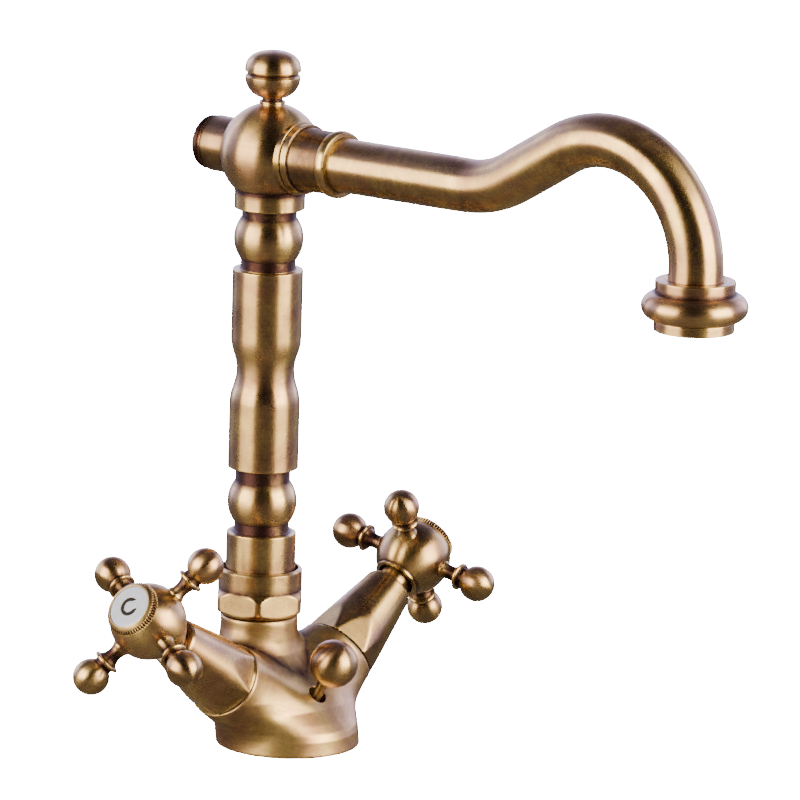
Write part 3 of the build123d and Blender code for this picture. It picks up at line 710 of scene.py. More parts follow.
def brushing_group() -> NodeTree:
    """Fine lines left by brushing a turned piece.

    Formula: the turn coordinate becomes a point on a circle, so that the noise has no seam, and the
    coordinate along the axis is stretched far more than the circle, which draws the noise into lines.

    Returns:
        The group, which puts out a line value and a slow streak value.
    """
    tree, graph, inward, outward = new_group(
        "brushing",
        (("Turn Map", "NodeSocketVector", None), ("Lines", "NodeSocketFloat", 900.0)),
        (("Line", "NodeSocketFloat"), ("Streak", "NodeSocketFloat")),
    )
    given, result = inward.outputs, outward.inputs
    parts = graph.node("ShaderNodeSeparateXYZ")
    graph.feed(parts.inputs[0], given["Turn Map"])
    angle = graph.math("MULTIPLY", parts.outputs[0], 2 * np.pi)
    cosine, sine = graph.math("COSINE", angle), graph.math("SINE", angle)
    stations = graph.math("MULTIPLY", parts.outputs[1], given["Lines"])

    def wound(across: float, share: float) -> Socket:
        """Point on a circle of the given size, with a share of the station as its height."""
        point = graph.node("ShaderNodeCombineXYZ")
        graph.feed(point.inputs[0], graph.math("MULTIPLY", cosine, across))
        graph.feed(point.inputs[1], graph.math("MULTIPLY", sine, across))
        graph.feed(point.inputs[2], graph.math("MULTIPLY", stations, share))
        return point.outputs[0]

    fine = graph.noise(wound(1.6, 1.0), 1.0, 4.0, 0.65)
    broken = graph.noise(wound(5.0, 0.32), 1.0, 3.0, 0.6)
    line = graph.math("ADD", graph.math("MULTIPLY", fine, 0.6), graph.math("MULTIPLY", broken, 0.4))
    streak = graph.noise(wound(2.2, 0.035), 1.0, 3.0, 0.55, 0.4)
    graph.feed(result["Line"], graph.spread(line, 0.34, 0.66))
    graph.feed(result["Streak"], graph.spread(streak, 0.32, 0.7))
    return tree


def scratch_group() -> NodeTree:
    """Hand brushing that follows no axis: three slanted, drawn-out noises mixed by a slow one.

    Returns:
        The group, which puts out a line value and a slow streak value.
    """
    tree, graph, inward, outward = new_group(
        "hand_brushing",
        (("Place", "NodeSocketVector", None),),
        (("Line", "NodeSocketFloat"), ("Streak", "NodeSocketFloat")),
    )
    given, result = inward.outputs, outward.inputs
    drawn = []
    strokes = (
        (0.5, (90.0, 90.0, 2400.0)),
        (-0.45, (110.0, 110.0, 2100.0)),
        (0.1, (500.0, 60.0, 2700.0)),
    )
    for turn, stretch in strokes:
        rotate = graph.node("ShaderNodeVectorRotate", rotation_type="Y_AXIS")
        graph.feed(rotate.inputs["Vector"], given["Place"])
        graph.feed(rotate.inputs["Angle"], turn)
        drawn.append(graph.noise(graph.scaled(rotate.outputs[0], stretch), 1.0, 3.0, 0.6))
    choice = graph.spread(graph.noise(given["Place"], 70.0, 2.0), 0.4, 0.6)
    first = graph.math("MULTIPLY", drawn[0], choice)
    second = graph.math("MULTIPLY", drawn[1], graph.math("SUBTRACT", 1.0, choice))
    mixed = graph.math("MULTIPLY", graph.math("ADD", first, second), 0.7)
    line = graph.math("ADD", mixed, graph.math("MULTIPLY", drawn[2], 0.3))
    streak = graph.noise(graph.scaled(given["Place"], (45.0, 45.0, 170.0)), 1.0, 3.0, 0.55, 0.8)
    graph.feed(result["Line"], graph.spread(line, 0.36, 0.64))
    graph.feed(result["Streak"], graph.spread(streak, 0.36, 0.66))
    return tree


def patina_group() -> NodeTree:
    """Colour of aged brass: wiped gold, brown between, and dark purple-brown where it was never wiped.

    Formula: the hollow mark and a cloud noise raise the amount of patina, and the edge mark lowers it.
    One cloud chooses between gold and brown and another adds a pinkish brown; the brushing's streaks
    bring more brown, its lines darken the colour, and edges are wiped back to gold.

    Returns:
        The group, which puts out the colour and the amount of patina.
    """
    tree, graph, inward, outward = new_group(
        "patina",
        (
            ("Place", "NodeSocketVector", None),
            ("Line", "NodeSocketFloat", 0.5),
            ("Streak", "NodeSocketFloat", 0.5),
            ("Hollow", "NodeSocketFloat", 0.0),
            ("Edge", "NodeSocketFloat", 0.0),
            ("Gold", "NodeSocketColor", (0.7, 0.5, 0.26, 1.0)),
            ("Brown", "NodeSocketColor", (0.4, 0.26, 0.14, 1.0)),
            ("Blush", "NodeSocketColor", (0.45, 0.27, 0.2, 1.0)),
            ("Dark", "NodeSocketColor", (0.08, 0.045, 0.04, 1.0)),
        ),
        (("Color", "NodeSocketColor"), ("Amount", "NodeSocketFloat")),
    )
    given, result = inward.outputs, outward.inputs
    clouds = graph.noise(given["Place"], 55.0, 4.0, 0.6, 0.6)
    mottle = graph.noise(given["Place"], 330.0, 4.0, 0.65)
    blush = graph.noise(given["Place"], 34.0, 3.0, 0.55, 1.2)
    ragged = graph.math("ADD", graph.math("MULTIPLY", clouds, 0.55), graph.math("MULTIPLY", mottle, 0.35))
    worn = graph.math("MULTIPLY", given["Edge"], 0.7)
    # The hollow mark holds patina in recesses, and painted shade in the knurl grooves and drilled holes.
    deep = graph.math("MULTIPLY", given["Hollow"], graph.spread(ragged, 0.2, 0.6, 0.55, 1.35))
    amount = graph.math("SUBTRACT", deep, worn, clamp=True)
    wiped = graph.blend(graph.spread(clouds, 0.38, 0.62, 0.0, 0.9), given["Gold"], given["Brown"])
    tinted = graph.blend(graph.spread(blush, 0.45, 0.66, 0.0, 0.75), wiped, given["Blush"])
    streaked = graph.blend(graph.math("MULTIPLY", given["Streak"], 0.42), tinted, given["Brown"])
    shades = graph.blend(given["Line"], (0.62, 0.6, 0.58, 1.0), (1.0, 1.0, 1.0, 1.0))
    lined = graph.blend(0.5, streaked, shades, "MULTIPLY")
    brightened = graph.blend(graph.math("MULTIPLY", given["Edge"], 0.4), lined, given["Gold"])
    graph.feed(result["Color"], graph.blend(amount, brightened, given["Dark"]))
    graph.feed(result["Amount"], amount)
    return tree


def speckle_group() -> NodeTree:
    """Small unevenness of a plain material: a fine grain, and slow clouds.

    Returns:
        The group, which puts out the grain and the clouds.
    """
    tree, graph, inward, outward = new_group(
        "speckle",
        (("Place", "NodeSocketVector", None), ("Grain Scale", "NodeSocketFloat", 900.0)),
        (("Grain", "NodeSocketFloat"), ("Clouds", "NodeSocketFloat")),
    )
    given, result = inward.outputs, outward.inputs
    grain = graph.node("ShaderNodeTexNoise")
    graph.feed(grain.inputs["Vector"], given["Place"])
    graph.feed(grain.inputs["Scale"], given["Grain Scale"])
    grain.inputs["Detail"].default_value = 3.0
    graph.feed(result["Grain"], graph.spread(grain.outputs[0], 0.3, 0.7))
    clouds = graph.noise(given["Place"], 90.0, 3.0)
    graph.feed(result["Clouds"], graph.spread(clouds, 0.35, 0.65))
    return tree


# ---------------------------------------------------------------- finishes
@dataclass(frozen=True)
class AgedBrass:
    """Brushed brass, darkened and wiped back."""

    name: str
    grain: Grain = Grain.LATHE
    gold: Triple = (0.62, 0.46, 0.2)
    brown: Triple = (0.32, 0.195, 0.12)
    blush: Triple = (0.42, 0.225, 0.165)
    dark: Triple = (0.05, 0.024, 0.028)
    lines: float = 330.0
    roughness: float = 0.27
    anisotropy: float = 0.75
    relief: float = 0.000004

    def material(self, groups: "Groups") -> Material:
        """Build the material.

        Args:
            groups: Shared shader groups.

        Returns:
            The material.
        """
        made, graph, shader = start_material(self.name)
        coordinates = graph.node("ShaderNodeTexCoord")
        brushing = graph.node("ShaderNodeGroup")
        patina = graph.node("ShaderNodeGroup")
        patina.node_tree = groups.patina
        if self.grain is Grain.LATHE:
            brushing.node_tree = groups.brushing
            uv = graph.node("ShaderNodeUVMap", uv_map=UV_NAME)
            graph.feed(brushing.inputs["Turn Map"], uv.outputs[0])
            brushing.inputs["Lines"].default_value = self.lines
            tangent = graph.node("ShaderNodeTangent", direction_type="UV_MAP", uv_map=UV_NAME)
            graph.feed(shader.inputs["Tangent"], tangent.outputs[0])
            shader.inputs["Anisotropic"].default_value = self.anisotropy
            shader.inputs["Anisotropic Rotation"].default_value = 0.25
        else:
            brushing.node_tree = groups.scratches
            graph.feed(brushing.inputs["Place"], coordinates.outputs["Object"])
        for label in ("Hollow", "Edge"):
            mark = graph.node("ShaderNodeAttribute", attribute_name=label.lower())
            graph.feed(patina.inputs[label], mark.outputs["Fac"])
        graph.feed(patina.inputs["Place"], coordinates.outputs["Object"])
        graph.feed(patina.inputs["Line"], brushing.outputs["Line"])
        graph.feed(patina.inputs["Streak"], brushing.outputs["Streak"])
        tints = {"Gold": self.gold, "Brown": self.brown, "Blush": self.blush, "Dark": self.dark}
        for label, colour in tints.items():
            patina.inputs[label].default_value = (*colour, 1.0)
        graph.feed(shader.inputs["Base Color"], patina.outputs["Color"])
        shader.inputs["Metallic"].default_value = 1.0
        shine = graph.math("MULTIPLY_ADD", brushing.outputs["Line"], -0.06, self.roughness + 0.03)
        shine = graph.math("MULTIPLY_ADD", brushing.outputs["Streak"], 0.07, shine)
        shine = graph.math("MULTIPLY_ADD", patina.outputs["Amount"], 0.22, shine)
        graph.feed(shader.inputs["Roughness"], shine)
        add_bump(graph, shader, brushing.outputs["Line"], self.relief)
        return made


@dataclass(frozen=True)
class PlainFinish:
    """A material of one colour family with its own grain and clouds."""

    name: str
    colour: Triple
    shade: Triple
    metallic: float = 0.0
    roughness: float = 0.4
    grain_scale: float = 900.0
    relief: float = 0.00001
    coat: float = 0.0
    gloss: float = 0.5

    def material(self, groups: "Groups") -> Material:
        """Build the material.

        Args:
            groups: Shared shader groups.

        Returns:
            The material.
        """
        made, graph, shader = start_material(self.name)
        coordinates = graph.node("ShaderNodeTexCoord")
        speckle = graph.node("ShaderNodeGroup")
        speckle.node_tree = groups.speckle
        graph.feed(speckle.inputs["Place"], coordinates.outputs["Object"])
        speckle.inputs["Grain Scale"].default_value = self.grain_scale
        clouds = graph.math("MULTIPLY", speckle.outputs["Clouds"], 0.6)
        amount = graph.math("MULTIPLY_ADD", speckle.outputs["Grain"], 0.35, clouds)
        graph.feed(shader.inputs["Base Color"], graph.blend(amount, (*self.colour, 1.0), (*self.shade, 1.0)))
        shader.inputs["Metallic"].default_value = self.metallic
        shader.inputs["Coat Weight"].default_value = self.coat
        shader.inputs["Specular IOR Level"].default_value = self.gloss
        shader.inputs["Coat Roughness"].default_value = 0.08
        shine = graph.math("MULTIPLY_ADD", speckle.outputs["Clouds"], 0.1, self.roughness)
        graph.feed(shader.inputs["Roughness"], shine)
        add_bump(graph, shader, speckle.outputs["Grain"], self.relief)
        return made


def start_material(name: str) -> tuple[Material, Graph, Node]:
    """A new node material with its Principled shader and output.

    Args:
        name: Material name.

    Returns:
        The material, its graph helper and its shader.
    """
    made = bpy.data.materials.new(name)
    made.use_nodes = True
    made.node_tree.nodes.clear()
    graph = Graph(made.node_tree)
    output = graph.node("ShaderNodeOutputMaterial")
    shader = graph.node("ShaderNodeBsdfPrincipled")
    graph.feed(output.inputs["Surface"], shader.outputs[0])
    return made, graph, shader


def add_bump(graph: Graph, shader: Node, height: Socket, distance: float) -> None:
    """Let a height value raise the shader's normal.

    Args:
        graph: Material's graph helper.
        shader: Principled shader.
        height: Value from 0 to 1.
        distance: Height in metres that 1 stands for.
    """
    bump = graph.node("ShaderNodeBump")
    bump.inputs["Strength"].default_value = 0.5
    bump.inputs["Distance"].default_value = distance
    graph.feed(bump.inputs["Height"], height)
    graph.feed(shader.inputs["Normal"], bump.outputs[0])


class Groups:
    """The shared shader groups, built once."""

    def __init__(self) -> None:
        """Build every group."""
        self.brushing = brushing_group()
        self.scratches = scratch_group()
        self.patina = patina_group()
        self.speckle = speckle_group()


@dataclass
class Finishes:
    """Every material of the tap."""

    groups: Groups = field(default_factory=Groups)

    def __post_init__(self) -> None:
        """Build the materials from their finishes."""
        groups = self.groups
        self.brass = AgedBrass("aged_brass").material(groups)
        self.tube_brass = AgedBrass("aged_brass_tube", lines=300.0).material(groups)
        self.cast_brass = AgedBrass("aged_brass_cast", grain=Grain.SOLID, roughness=0.34).material(groups)
        self.knurled = AgedBrass("aged_brass_knurled", roughness=0.32, anisotropy=0.3).material(groups)
        plain = {
            Slot.WHITE_ENAMEL: PlainFinish(
                "white_enamel",
                (0.46, 0.53, 0.86),
                (0.4, 0.46, 0.76),
                roughness=0.16,
                grain_scale=600.0,
                relief=0.000004,
                coat=0.6,
            ),
            Slot.BRIGHT_BRASS: PlainFinish(
                "bright_brass", (0.85, 0.65, 0.34), (0.62, 0.43, 0.2), metallic=1.0, roughness=0.25
            ),
            Slot.BLACK_RUBBER: PlainFinish(
                "black_rubber",
                (0.018, 0.018, 0.02),
                (0.035, 0.034, 0.034),
                roughness=0.6,
                grain_scale=1500.0,
                relief=0.00003,
            ),
            Slot.WHITE_PLASTIC: PlainFinish(
                "white_plastic", (0.74, 0.74, 0.72), (0.6, 0.6, 0.57), roughness=0.38
            ),
            Slot.VALVE_CERAMIC: PlainFinish(
                "valve_ceramic", (0.83, 0.81, 0.76), (0.74, 0.72, 0.66), roughness=0.14
            ),
            Slot.STAINLESS_STEEL: PlainFinish(
                "stainless_steel",
                (0.6, 0.6, 0.6),
                (0.42, 0.42, 0.43),
                metallic=1.0,
                roughness=0.28,
                grain_scale=1400.0,
            ),
            Slot.DARK_ENAMEL: PlainFinish(
                "dark_enamel",
                (0.006, 0.006, 0.008),
                (0.014, 0.014, 0.016),
                roughness=0.6,
                grain_scale=800.0,
                relief=0.000005,
                gloss=0.15,
            ),
        }
        self.by_slot = {slot: finish.material(groups) for slot, finish in plain.items()}
        self.by_slot[Slot.AGED_BRASS] = self.cast_brass
        self.enamel = self.by_slot[Slot.WHITE_ENAMEL]


# ---------------------------------------------------------------- sub-assemblies
def leaning_axis(origin: Triple, lean: float) -> TurningAxis:
    """Axis that leans forward from upright by an angle in degrees."""
    slope = np.radians(lean)
    return TurningAxis(origin, (0.0, -float(np.sin(slope)), float(np.cos(slope))))


COLUMN = TurningAxis((0.0, COLUMN_Y, 0.0))
POPUP = leaning_axis((0.0, -14.0, 20.6), 30.4)
SPOUT_ROOT = leaning_axis((0.0, COLUMN_Y, SPOUT_ROOT_HEIGHT), 90.0 - SPOUT_RISE)


@dataclass
class CastBody:
    """The foot, its two valve arms and the spout socket, cast in one."""

    middle: Triple = (0.0, 6.0, 13.0)
    socket_top: float = 44.0
    socket_heights: Row = (0.0, 22.0, 27.0, 32.0, 36.0, 40.0, 60.0)
    socket_radii: Row = (20.5, 17.6, 16.4, 15.0, 14.1, 13.7, 13.7)
    socket_middles: Row = (0.0, 11.0, 13.2, 14.9, 14.9, 14.9, 14.9)
    hub: Triple = HUB_CENTRE
    tilt: float = HANDLE_TILT
    arm_radius: float = 13.5
    arm_mouth: float = -49.2
    arm_root: float = -84.0
    saddle: float = 23.5
    trunk_heights: Row = (-5.0, 0.0, 5.5, 8.0, 11.0, 15.0, 20.0, 26.0, 34.0)
    trunk_widths: Row = (25.0, 25.0, 25.0, 25.3, 27.0, 30.5, 33.0, 31.0, 26.0)
    trunk_depths: Row = (25.0, 25.0, 25.0, 24.3, 22.2, 19.0, 16.4, 14.0, 11.0)
    trunk_middles: Row = (0.0, 0.0, 0.0, 0.1, 0.5, 1.2, 2.0, 3.5, 5.0)
    popup_bore: float = 3.5
    inlet: Triple = (9.5, 4.0, 4.5)
    inlet_depth: float = 11.0
    stud: Triple = (11.0, 3.4, 12.0)
    groove: Pair = (20.6, 23.2)
    groove_depth: float = 2.0
    rows: int = 232
    columns: int = 416
    longest_ray: float = 62.0
    halvings: int = 26

    @staticmethod
    def joined(first: Array, second: Array, width: float) -> tuple[Array, Array]:
        """Smooth smaller of two distances, and how much it was lowered there."""
        overlap = np.maximum(width - np.abs(first - second), 0)
        lowered = overlap**2 / (4 * width)
        return np.minimum(first, second) - lowered, lowered

    @staticmethod
    def cut(first: Array, second: Array, width: float) -> Array:
        """Smooth larger of two distances, which rounds the edge between them."""
        return np.maximum(first, second) + np.maximum(width - np.abs(first - second), 0) ** 2 / (4 * width)

    def distance(self, place: Array) -> tuple[Array, Array]:
        """Signed distance-like value of the casting, below zero inside, and its hollow mark.

        Formula: the trunk is an upright cone whose round foot widens into an oval, cut off above by a
        saddle that rises to both sides; each arm is a slanted cylinder, and the socket a cone that leans
        back from the foot. They are joined by a smooth smaller-of, and the whole is then cut square at both
        arm mouths, at the socket's top and at the deck.

        Args:
            place: Points in millimetres.

        Returns:
            The value and the hollow mark.
        """
        x, y, z = place[..., 0], place[..., 1], place[..., 2]
        trunk_rows = (self.trunk_widths, self.trunk_depths, self.trunk_middles)
        width, depth, middle = (np.interp(z, self.trunk_heights, row) for row in trunk_rows)
        trunk = (np.hypot(x / width, (y - middle) / depth) - 1) * depth * 0.8
        saddle = z - (self.saddle + 0.7 * (np.hypot(x, 5.0) - 5.0) + 0.1 * (y - self.hub[1]))
        trunk = self.cut(trunk, saddle * 0.82, 7.0)
        lean = np.radians(self.tilt)
        arms, mouths = [], []
        for side in (-1, 1):
            relative = place - np.array([side * self.hub[0], self.hub[1], self.hub[2]])
            direction = np.array([side * np.cos(lean), 0, np.sin(lean)])
            along = relative @ direction
            away = np.linalg.norm(relative - along[..., None] * direction, axis=-1)
            arms.append(self.cut(away - self.arm_radius, self.arm_root - along, 8.0))
            mouths.append(along - self.arm_mouth)
        arm, crease = self.joined(arms[0], arms[1], 4.0)
        socket_radius = np.interp(z, self.socket_heights, self.socket_radii)
        socket_middle = np.interp(z, self.socket_heights, self.socket_middles)
        socket = (np.hypot(x, y - socket_middle) - socket_radius) * 0.9
        body, under = self.joined(arm, trunk, 6.0)
        body, behind = self.joined(body, socket, 8.0)
        hollow = np.clip(behind * 0.42 + crease * 0.15 + under * 0.08, 0, 1)
        body = self.cut(self.cut(body, mouths[0], 0.7), mouths[1], 0.7)
        body = self.cut(body, z - self.socket_top, 0.7)
        return self.cut(body, -z, 0.6), hollow

    def sheet(self) -> Sheet:
        """The casting's skin.

        Formula: from a point inside, the distance to the skin in each direction of a sphere's grid is
        found by halving the interval in which the casting's value changes sign.

        Returns:
            The closed skin.
        """
        down = np.linspace(np.pi, 0, self.rows)[:, None]
        around = np.linspace(0, 2 * np.pi, self.columns, endpoint=False)[None, :]
        level, height = np.sin(down), np.cos(down) + 0 * around
        ray = np.stack([level * np.cos(around), level * np.sin(around), height], -1)
        centre = np.asarray(self.middle)
        near, far = np.zeros(ray.shape[:2]), np.full(ray.shape[:2], self.longest_ray)
        for _ in range(self.halvings):
            half = (near + far) / 2
            value, _marks = self.distance(centre + half[..., None] * ray)
            near, far = np.where(value < 0, half, near), np.where(value < 0, far, half)
        points = centre + near[..., None] * ray
        _value, hollow = self.distance(points)
        foot_line = np.clip(1 - points[..., 2] / 1.6, 0, 1) * 0.6
        return Sheet(points, np.maximum(hollow, foot_line), np.zeros_like(hollow))

    def holes(self) -> list[Sheet]:
        """Turned plugs for the pop-up way, the two inlets, the stud hole and the gasket groove, their walls
        marked as painted shade.
        """
        plugs = [POPUP.turned(plug(self.popup_bore, -22.0, 14.0), 96, easing=0.05)]
        for side in (-1, 1):
            inlet = TurningAxis((side * self.inlet[0], self.inlet[1], 0.0))
            plugs.append(inlet.turned(plug(self.inlet[2], -2.0, self.inlet_depth), 64, easing=0.05))
        stud = TurningAxis((0.0, self.stud[0], 0.0))
        plugs.append(stud.turned(plug(self.stud[1], -2.0, self.stud[2]), 64, easing=0.05))
        (inner, outer), deep = self.groove, self.groove_depth
        groove = chain((inner, -deep), (outer, -deep), (outer, deep), (inner, deep))
        plugs.append(TurningAxis((0.0, 0.0, 0.0)).turned(groove, 128, closed=True, easing=0.05))
        # Painted shade: each drilled hole's wall gets the full hollow mark and so the patina's dark colour.
        for sheet in plugs:
            sheet.hollow = np.ones(sheet.points.shape[:2])
        return plugs

    def build(self, finishes: Finishes) -> None:
        """Make the casting and drill it."""
        piece = make_piece("cast_body", [self.sheet()], "fixed_body", finishes.cast_brass, "body_casting")
        for number, sheet in enumerate(self.holes()):
            drill(piece, sheet, f"plug_{number}")


@dataclass
class PopupLift:
    """The pop-up waste's lift rod and its knob."""

    knob_reach: float = 13.4
    knob_radius: float = 8.5
    rod_radius: float = 1.9
    rod_low: float = -20.0
    rod_in_knob: float = 5.0

    def build(self, finishes: Finishes) -> None:
        """Make the knob and the rod."""
        knob = chain(
            (0, self.knob_reach - self.knob_radius + 0.25),
            arc((0, self.knob_reach), self.knob_radius, -73, 90, 90),
        )
        make_piece("lift_knob", [POPUP.turned(knob, 144)], "popup_lift", finishes.brass, "popup_knob")
        rod = plug(self.rod_radius, self.rod_low, self.knob_reach - self.rod_in_knob)
        make_piece("lift_rod", [POPUP.turned(rod, 64)], "popup_lift", finishes.brass, "popup_rod")


@dataclass
class SpoutNut:
    """The nut that holds the spout's column in its socket."""

    seam: float = 44.8
    hex_top: float = 53.6
    top: float = 61.2
    collar: float = 14.9
    corner: float = 16.6
    apothem: float = 14.8
    turn: float = 10.0
    chamfer: float = 1.7
    skirt: float = 11.5
    skirt_floor: float = 38.0
    bore: float = 8.9
    recess: float = 13.5
    recess_floor: float = 56.2

    def build(self, finishes: Finishes) -> None:
        """Make the nut as one closed turned ring with six flats."""
        outline = chain(
            (self.bore, self.skirt_floor),
            (self.skirt, self.skirt_floor),
            (self.skirt, self.seam),
            (self.collar - 0.5, self.seam),
            (self.corner - 0.25, self.seam + self.chamfer),
            (self.corner, self.seam + self.chamfer + 0.8),
            (self.corner, self.hex_top - self.chamfer - 0.8),
            (self.corner - 0.25, self.hex_top - self.chamfer),
            (self.collar, self.hex_top),
            (self.collar, self.top - 0.7),
            (self.collar - 0.7, self.top),
            (self.recess, self.top),
            (self.recess, self.recess_floor),
            (self.bore, self.recess_floor),
        )
        shaping = flats(self.apothem, 6, self.turn, self.seam - 0.1, self.hex_top - 0.05, 0.12)
        sheet = COLUMN.turned(outline, 360, closed=True, easing=0.25, shaping=shaping, step=0.55)
        make_piece("spout_nut", [sheet], "fixed_body", finishes.brass, "spout_retaining_nut")


@dataclass
class Column:
    """The upright column: lower ball joint, waisted sleeve and upper ball joint."""

    ring: float = 12.35
    ring_floor: float = 57.1
    ring_top: float = 74.0
    neck: float = 9.7
    ball: float = 12.3
    lower_ball: float = 85.0
    upper_ball: float = 179.7
    sleeve: float = 12.45
    sleeve_bottom: float = 97.3
    sleeve_top: float = 168.7
    waist: float = 10.25
    waist_low: float = 120.5
    waist_middle: float = 132.5
    waist_high: float = 144.3
    tail_radius: float = 8.5
    tail_bottom: float = 24.5
    tail_top: float = 58.0
    stain: Pair = (9.8, 11.2)

    def joint(self, low: float, high: float, ball: float) -> Array:
        """Outline of a neck, a ball and a neck between two collars.

        Args:
            low: Height where the lower neck starts.
            high: Height where the upper neck ends.
            ball: Height of the ball's middle.

        Returns:
            The outline.
        """
        reach = float(np.degrees(np.arccos(self.neck / self.ball)))
        drop = self.ball * float(np.sin(np.radians(reach)))
        return chain(
            (self.neck + 0.5, low),
            (self.neck, low + 0.5),
            (self.neck, ball - drop),
            arc((0, ball), self.ball, -reach, reach, 48),
            (self.neck, high - 0.5),
            (self.neck + 0.5, high),
        )

    def build(self, finishes: Finishes) -> None:
        """Make the three turned pieces."""
        lower = chain(
            (0, self.ring_floor),
            (self.ring, self.ring_floor),
            (self.ring, self.ring_top),
            self.joint(self.ring_top, self.sleeve_bottom, self.lower_ball),
            (0, self.sleeve_bottom),
        )
        tail = plug(self.tail_radius, self.tail_bottom, self.tail_top)
        sheets = [COLUMN.turned(lower, 192, step=0.5, stain=self.stain), COLUMN.turned(tail, 96)]
        make_piece("column_lower", sheets, "spout", finishes.brass, "column_lower_joint")
        wide, thin = self.sleeve, self.waist
        low, middle, high = self.waist_low, self.waist_middle, self.waist_high
        slack = (middle - low) * 0.42
        sleeve = chain(
            (0, self.sleeve_bottom),
            (self.sleeve, self.sleeve_bottom),
            sweep_curve((wide, low), (wide, low + slack), (thin, middle - slack), (thin, middle)),
            sweep_curve((thin, middle), (thin, middle + slack), (wide, high - slack), (wide, high)),
            (self.sleeve, self.sleeve_top),
            (0, self.sleeve_top),
        )
        sheet = COLUMN.turned(sleeve, 192)
        make_piece("column_waisted_sleeve", [sheet], "spout", finishes.brass, "column_sleeve")
        joint = self.joint(self.sleeve_top, HEAD_BOTTOM, self.upper_ball)
        upper = chain((0, self.sleeve_top), joint, (0, HEAD_BOTTOM))
        sheet = COLUMN.turned(upper, 192, step=0.5, stain=self.stain)
        make_piece("column_upper", [sheet], "spout", finishes.brass, "column_upper_joint")


@dataclass
class SpoutHead:
    """The ball on the column, with its finial, rear cap and spout ring."""

    height: float = 210.0
    radius: float = 17.9
    collar: float = 12.45
    ring: float = 12.9
    ring_start: float = 8.0
    ring_end: float = 14.6
    rear_start: float = -12.0
    rear_radius: float = 9.9
    rear_groove: float = -25.5
    rear_end: float = -31.6
    finial_foot: float = 4.6
    finial_neck: float = 3.6
    finial_split: float = 238.3
    finial_radius: float = 9.9
    finial_top: float = 246.4

    def build(self, finishes: Finishes) -> None:
        """Make the head, the rear cap and the finial."""
        start = -float(np.degrees(np.arccos(self.collar / self.radius)))
        ball = chain(
            (0, HEAD_BOTTOM),
            (self.collar, HEAD_BOTTOM),
            arc((0, self.height), self.radius, start, 90, 110),
        )
        ring = plug(self.ring, self.ring_start, self.ring_end)
        sheets = [COLUMN.turned(ball, 224, step=0.8), SPOUT_ROOT.turned(ring, 192, step=0.5)]
        make_piece("head_ball", sheets, "spout", finishes.brass, "spout_head")
        rear_rim = self.rear_radius - 0.4
        rear_dome = self.rear_groove - 2.7
        rear = chain(
            (0, self.rear_start),
            (self.rear_radius, self.rear_start),
            (self.rear_radius, self.rear_groove),
            (self.rear_radius - 1.35, self.rear_groove - 0.3),
            (self.rear_radius - 1.35, self.rear_groove - 1.2),
            (rear_rim, self.rear_groove - 1.6),
            oval_arc((0, rear_dome), (rear_rim, rear_dome - self.rear_end), 0, -90, 36),
        )
        rear_axis = TurningAxis((0.0, COLUMN_Y, self.height), (0.0, -1.0, 0.0))
        sheet = rear_axis.turned(rear, 160, easing=0.35, step=0.6)
        make_piece("head_rear_cap", [sheet], "spout", finishes.brass, "rear_cap")
        top = self.height + self.radius
        bowl = sweep_curve(
            (self.finial_neck, top + 1.7),
            (self.finial_neck + 2.4, top + 2.2),
            (self.finial_radius - 0.2, self.finial_split - 6.0),
            (self.finial_radius - 0.1, self.finial_split - 1.0),
        )
        dome = self.finial_split + 1.0
        finial = chain(
            (0, top - 1.2),
            (self.finial_foot, top - 1.2),
            (self.finial_foot, top + 0.6),
            (self.finial_neck, top + 1.0),
            bowl,
            (self.finial_radius - 1.1, self.finial_split),
            oval_arc((0, dome), (self.finial_radius, self.finial_top - dome), 0, 90, 56, 0.8),
        )
        sheet = COLUMN.turned(finial, 160, easing=0.2, step=0.5)
        make_piece("head_finial", [sheet], "spout", finishes.brass, "finial")


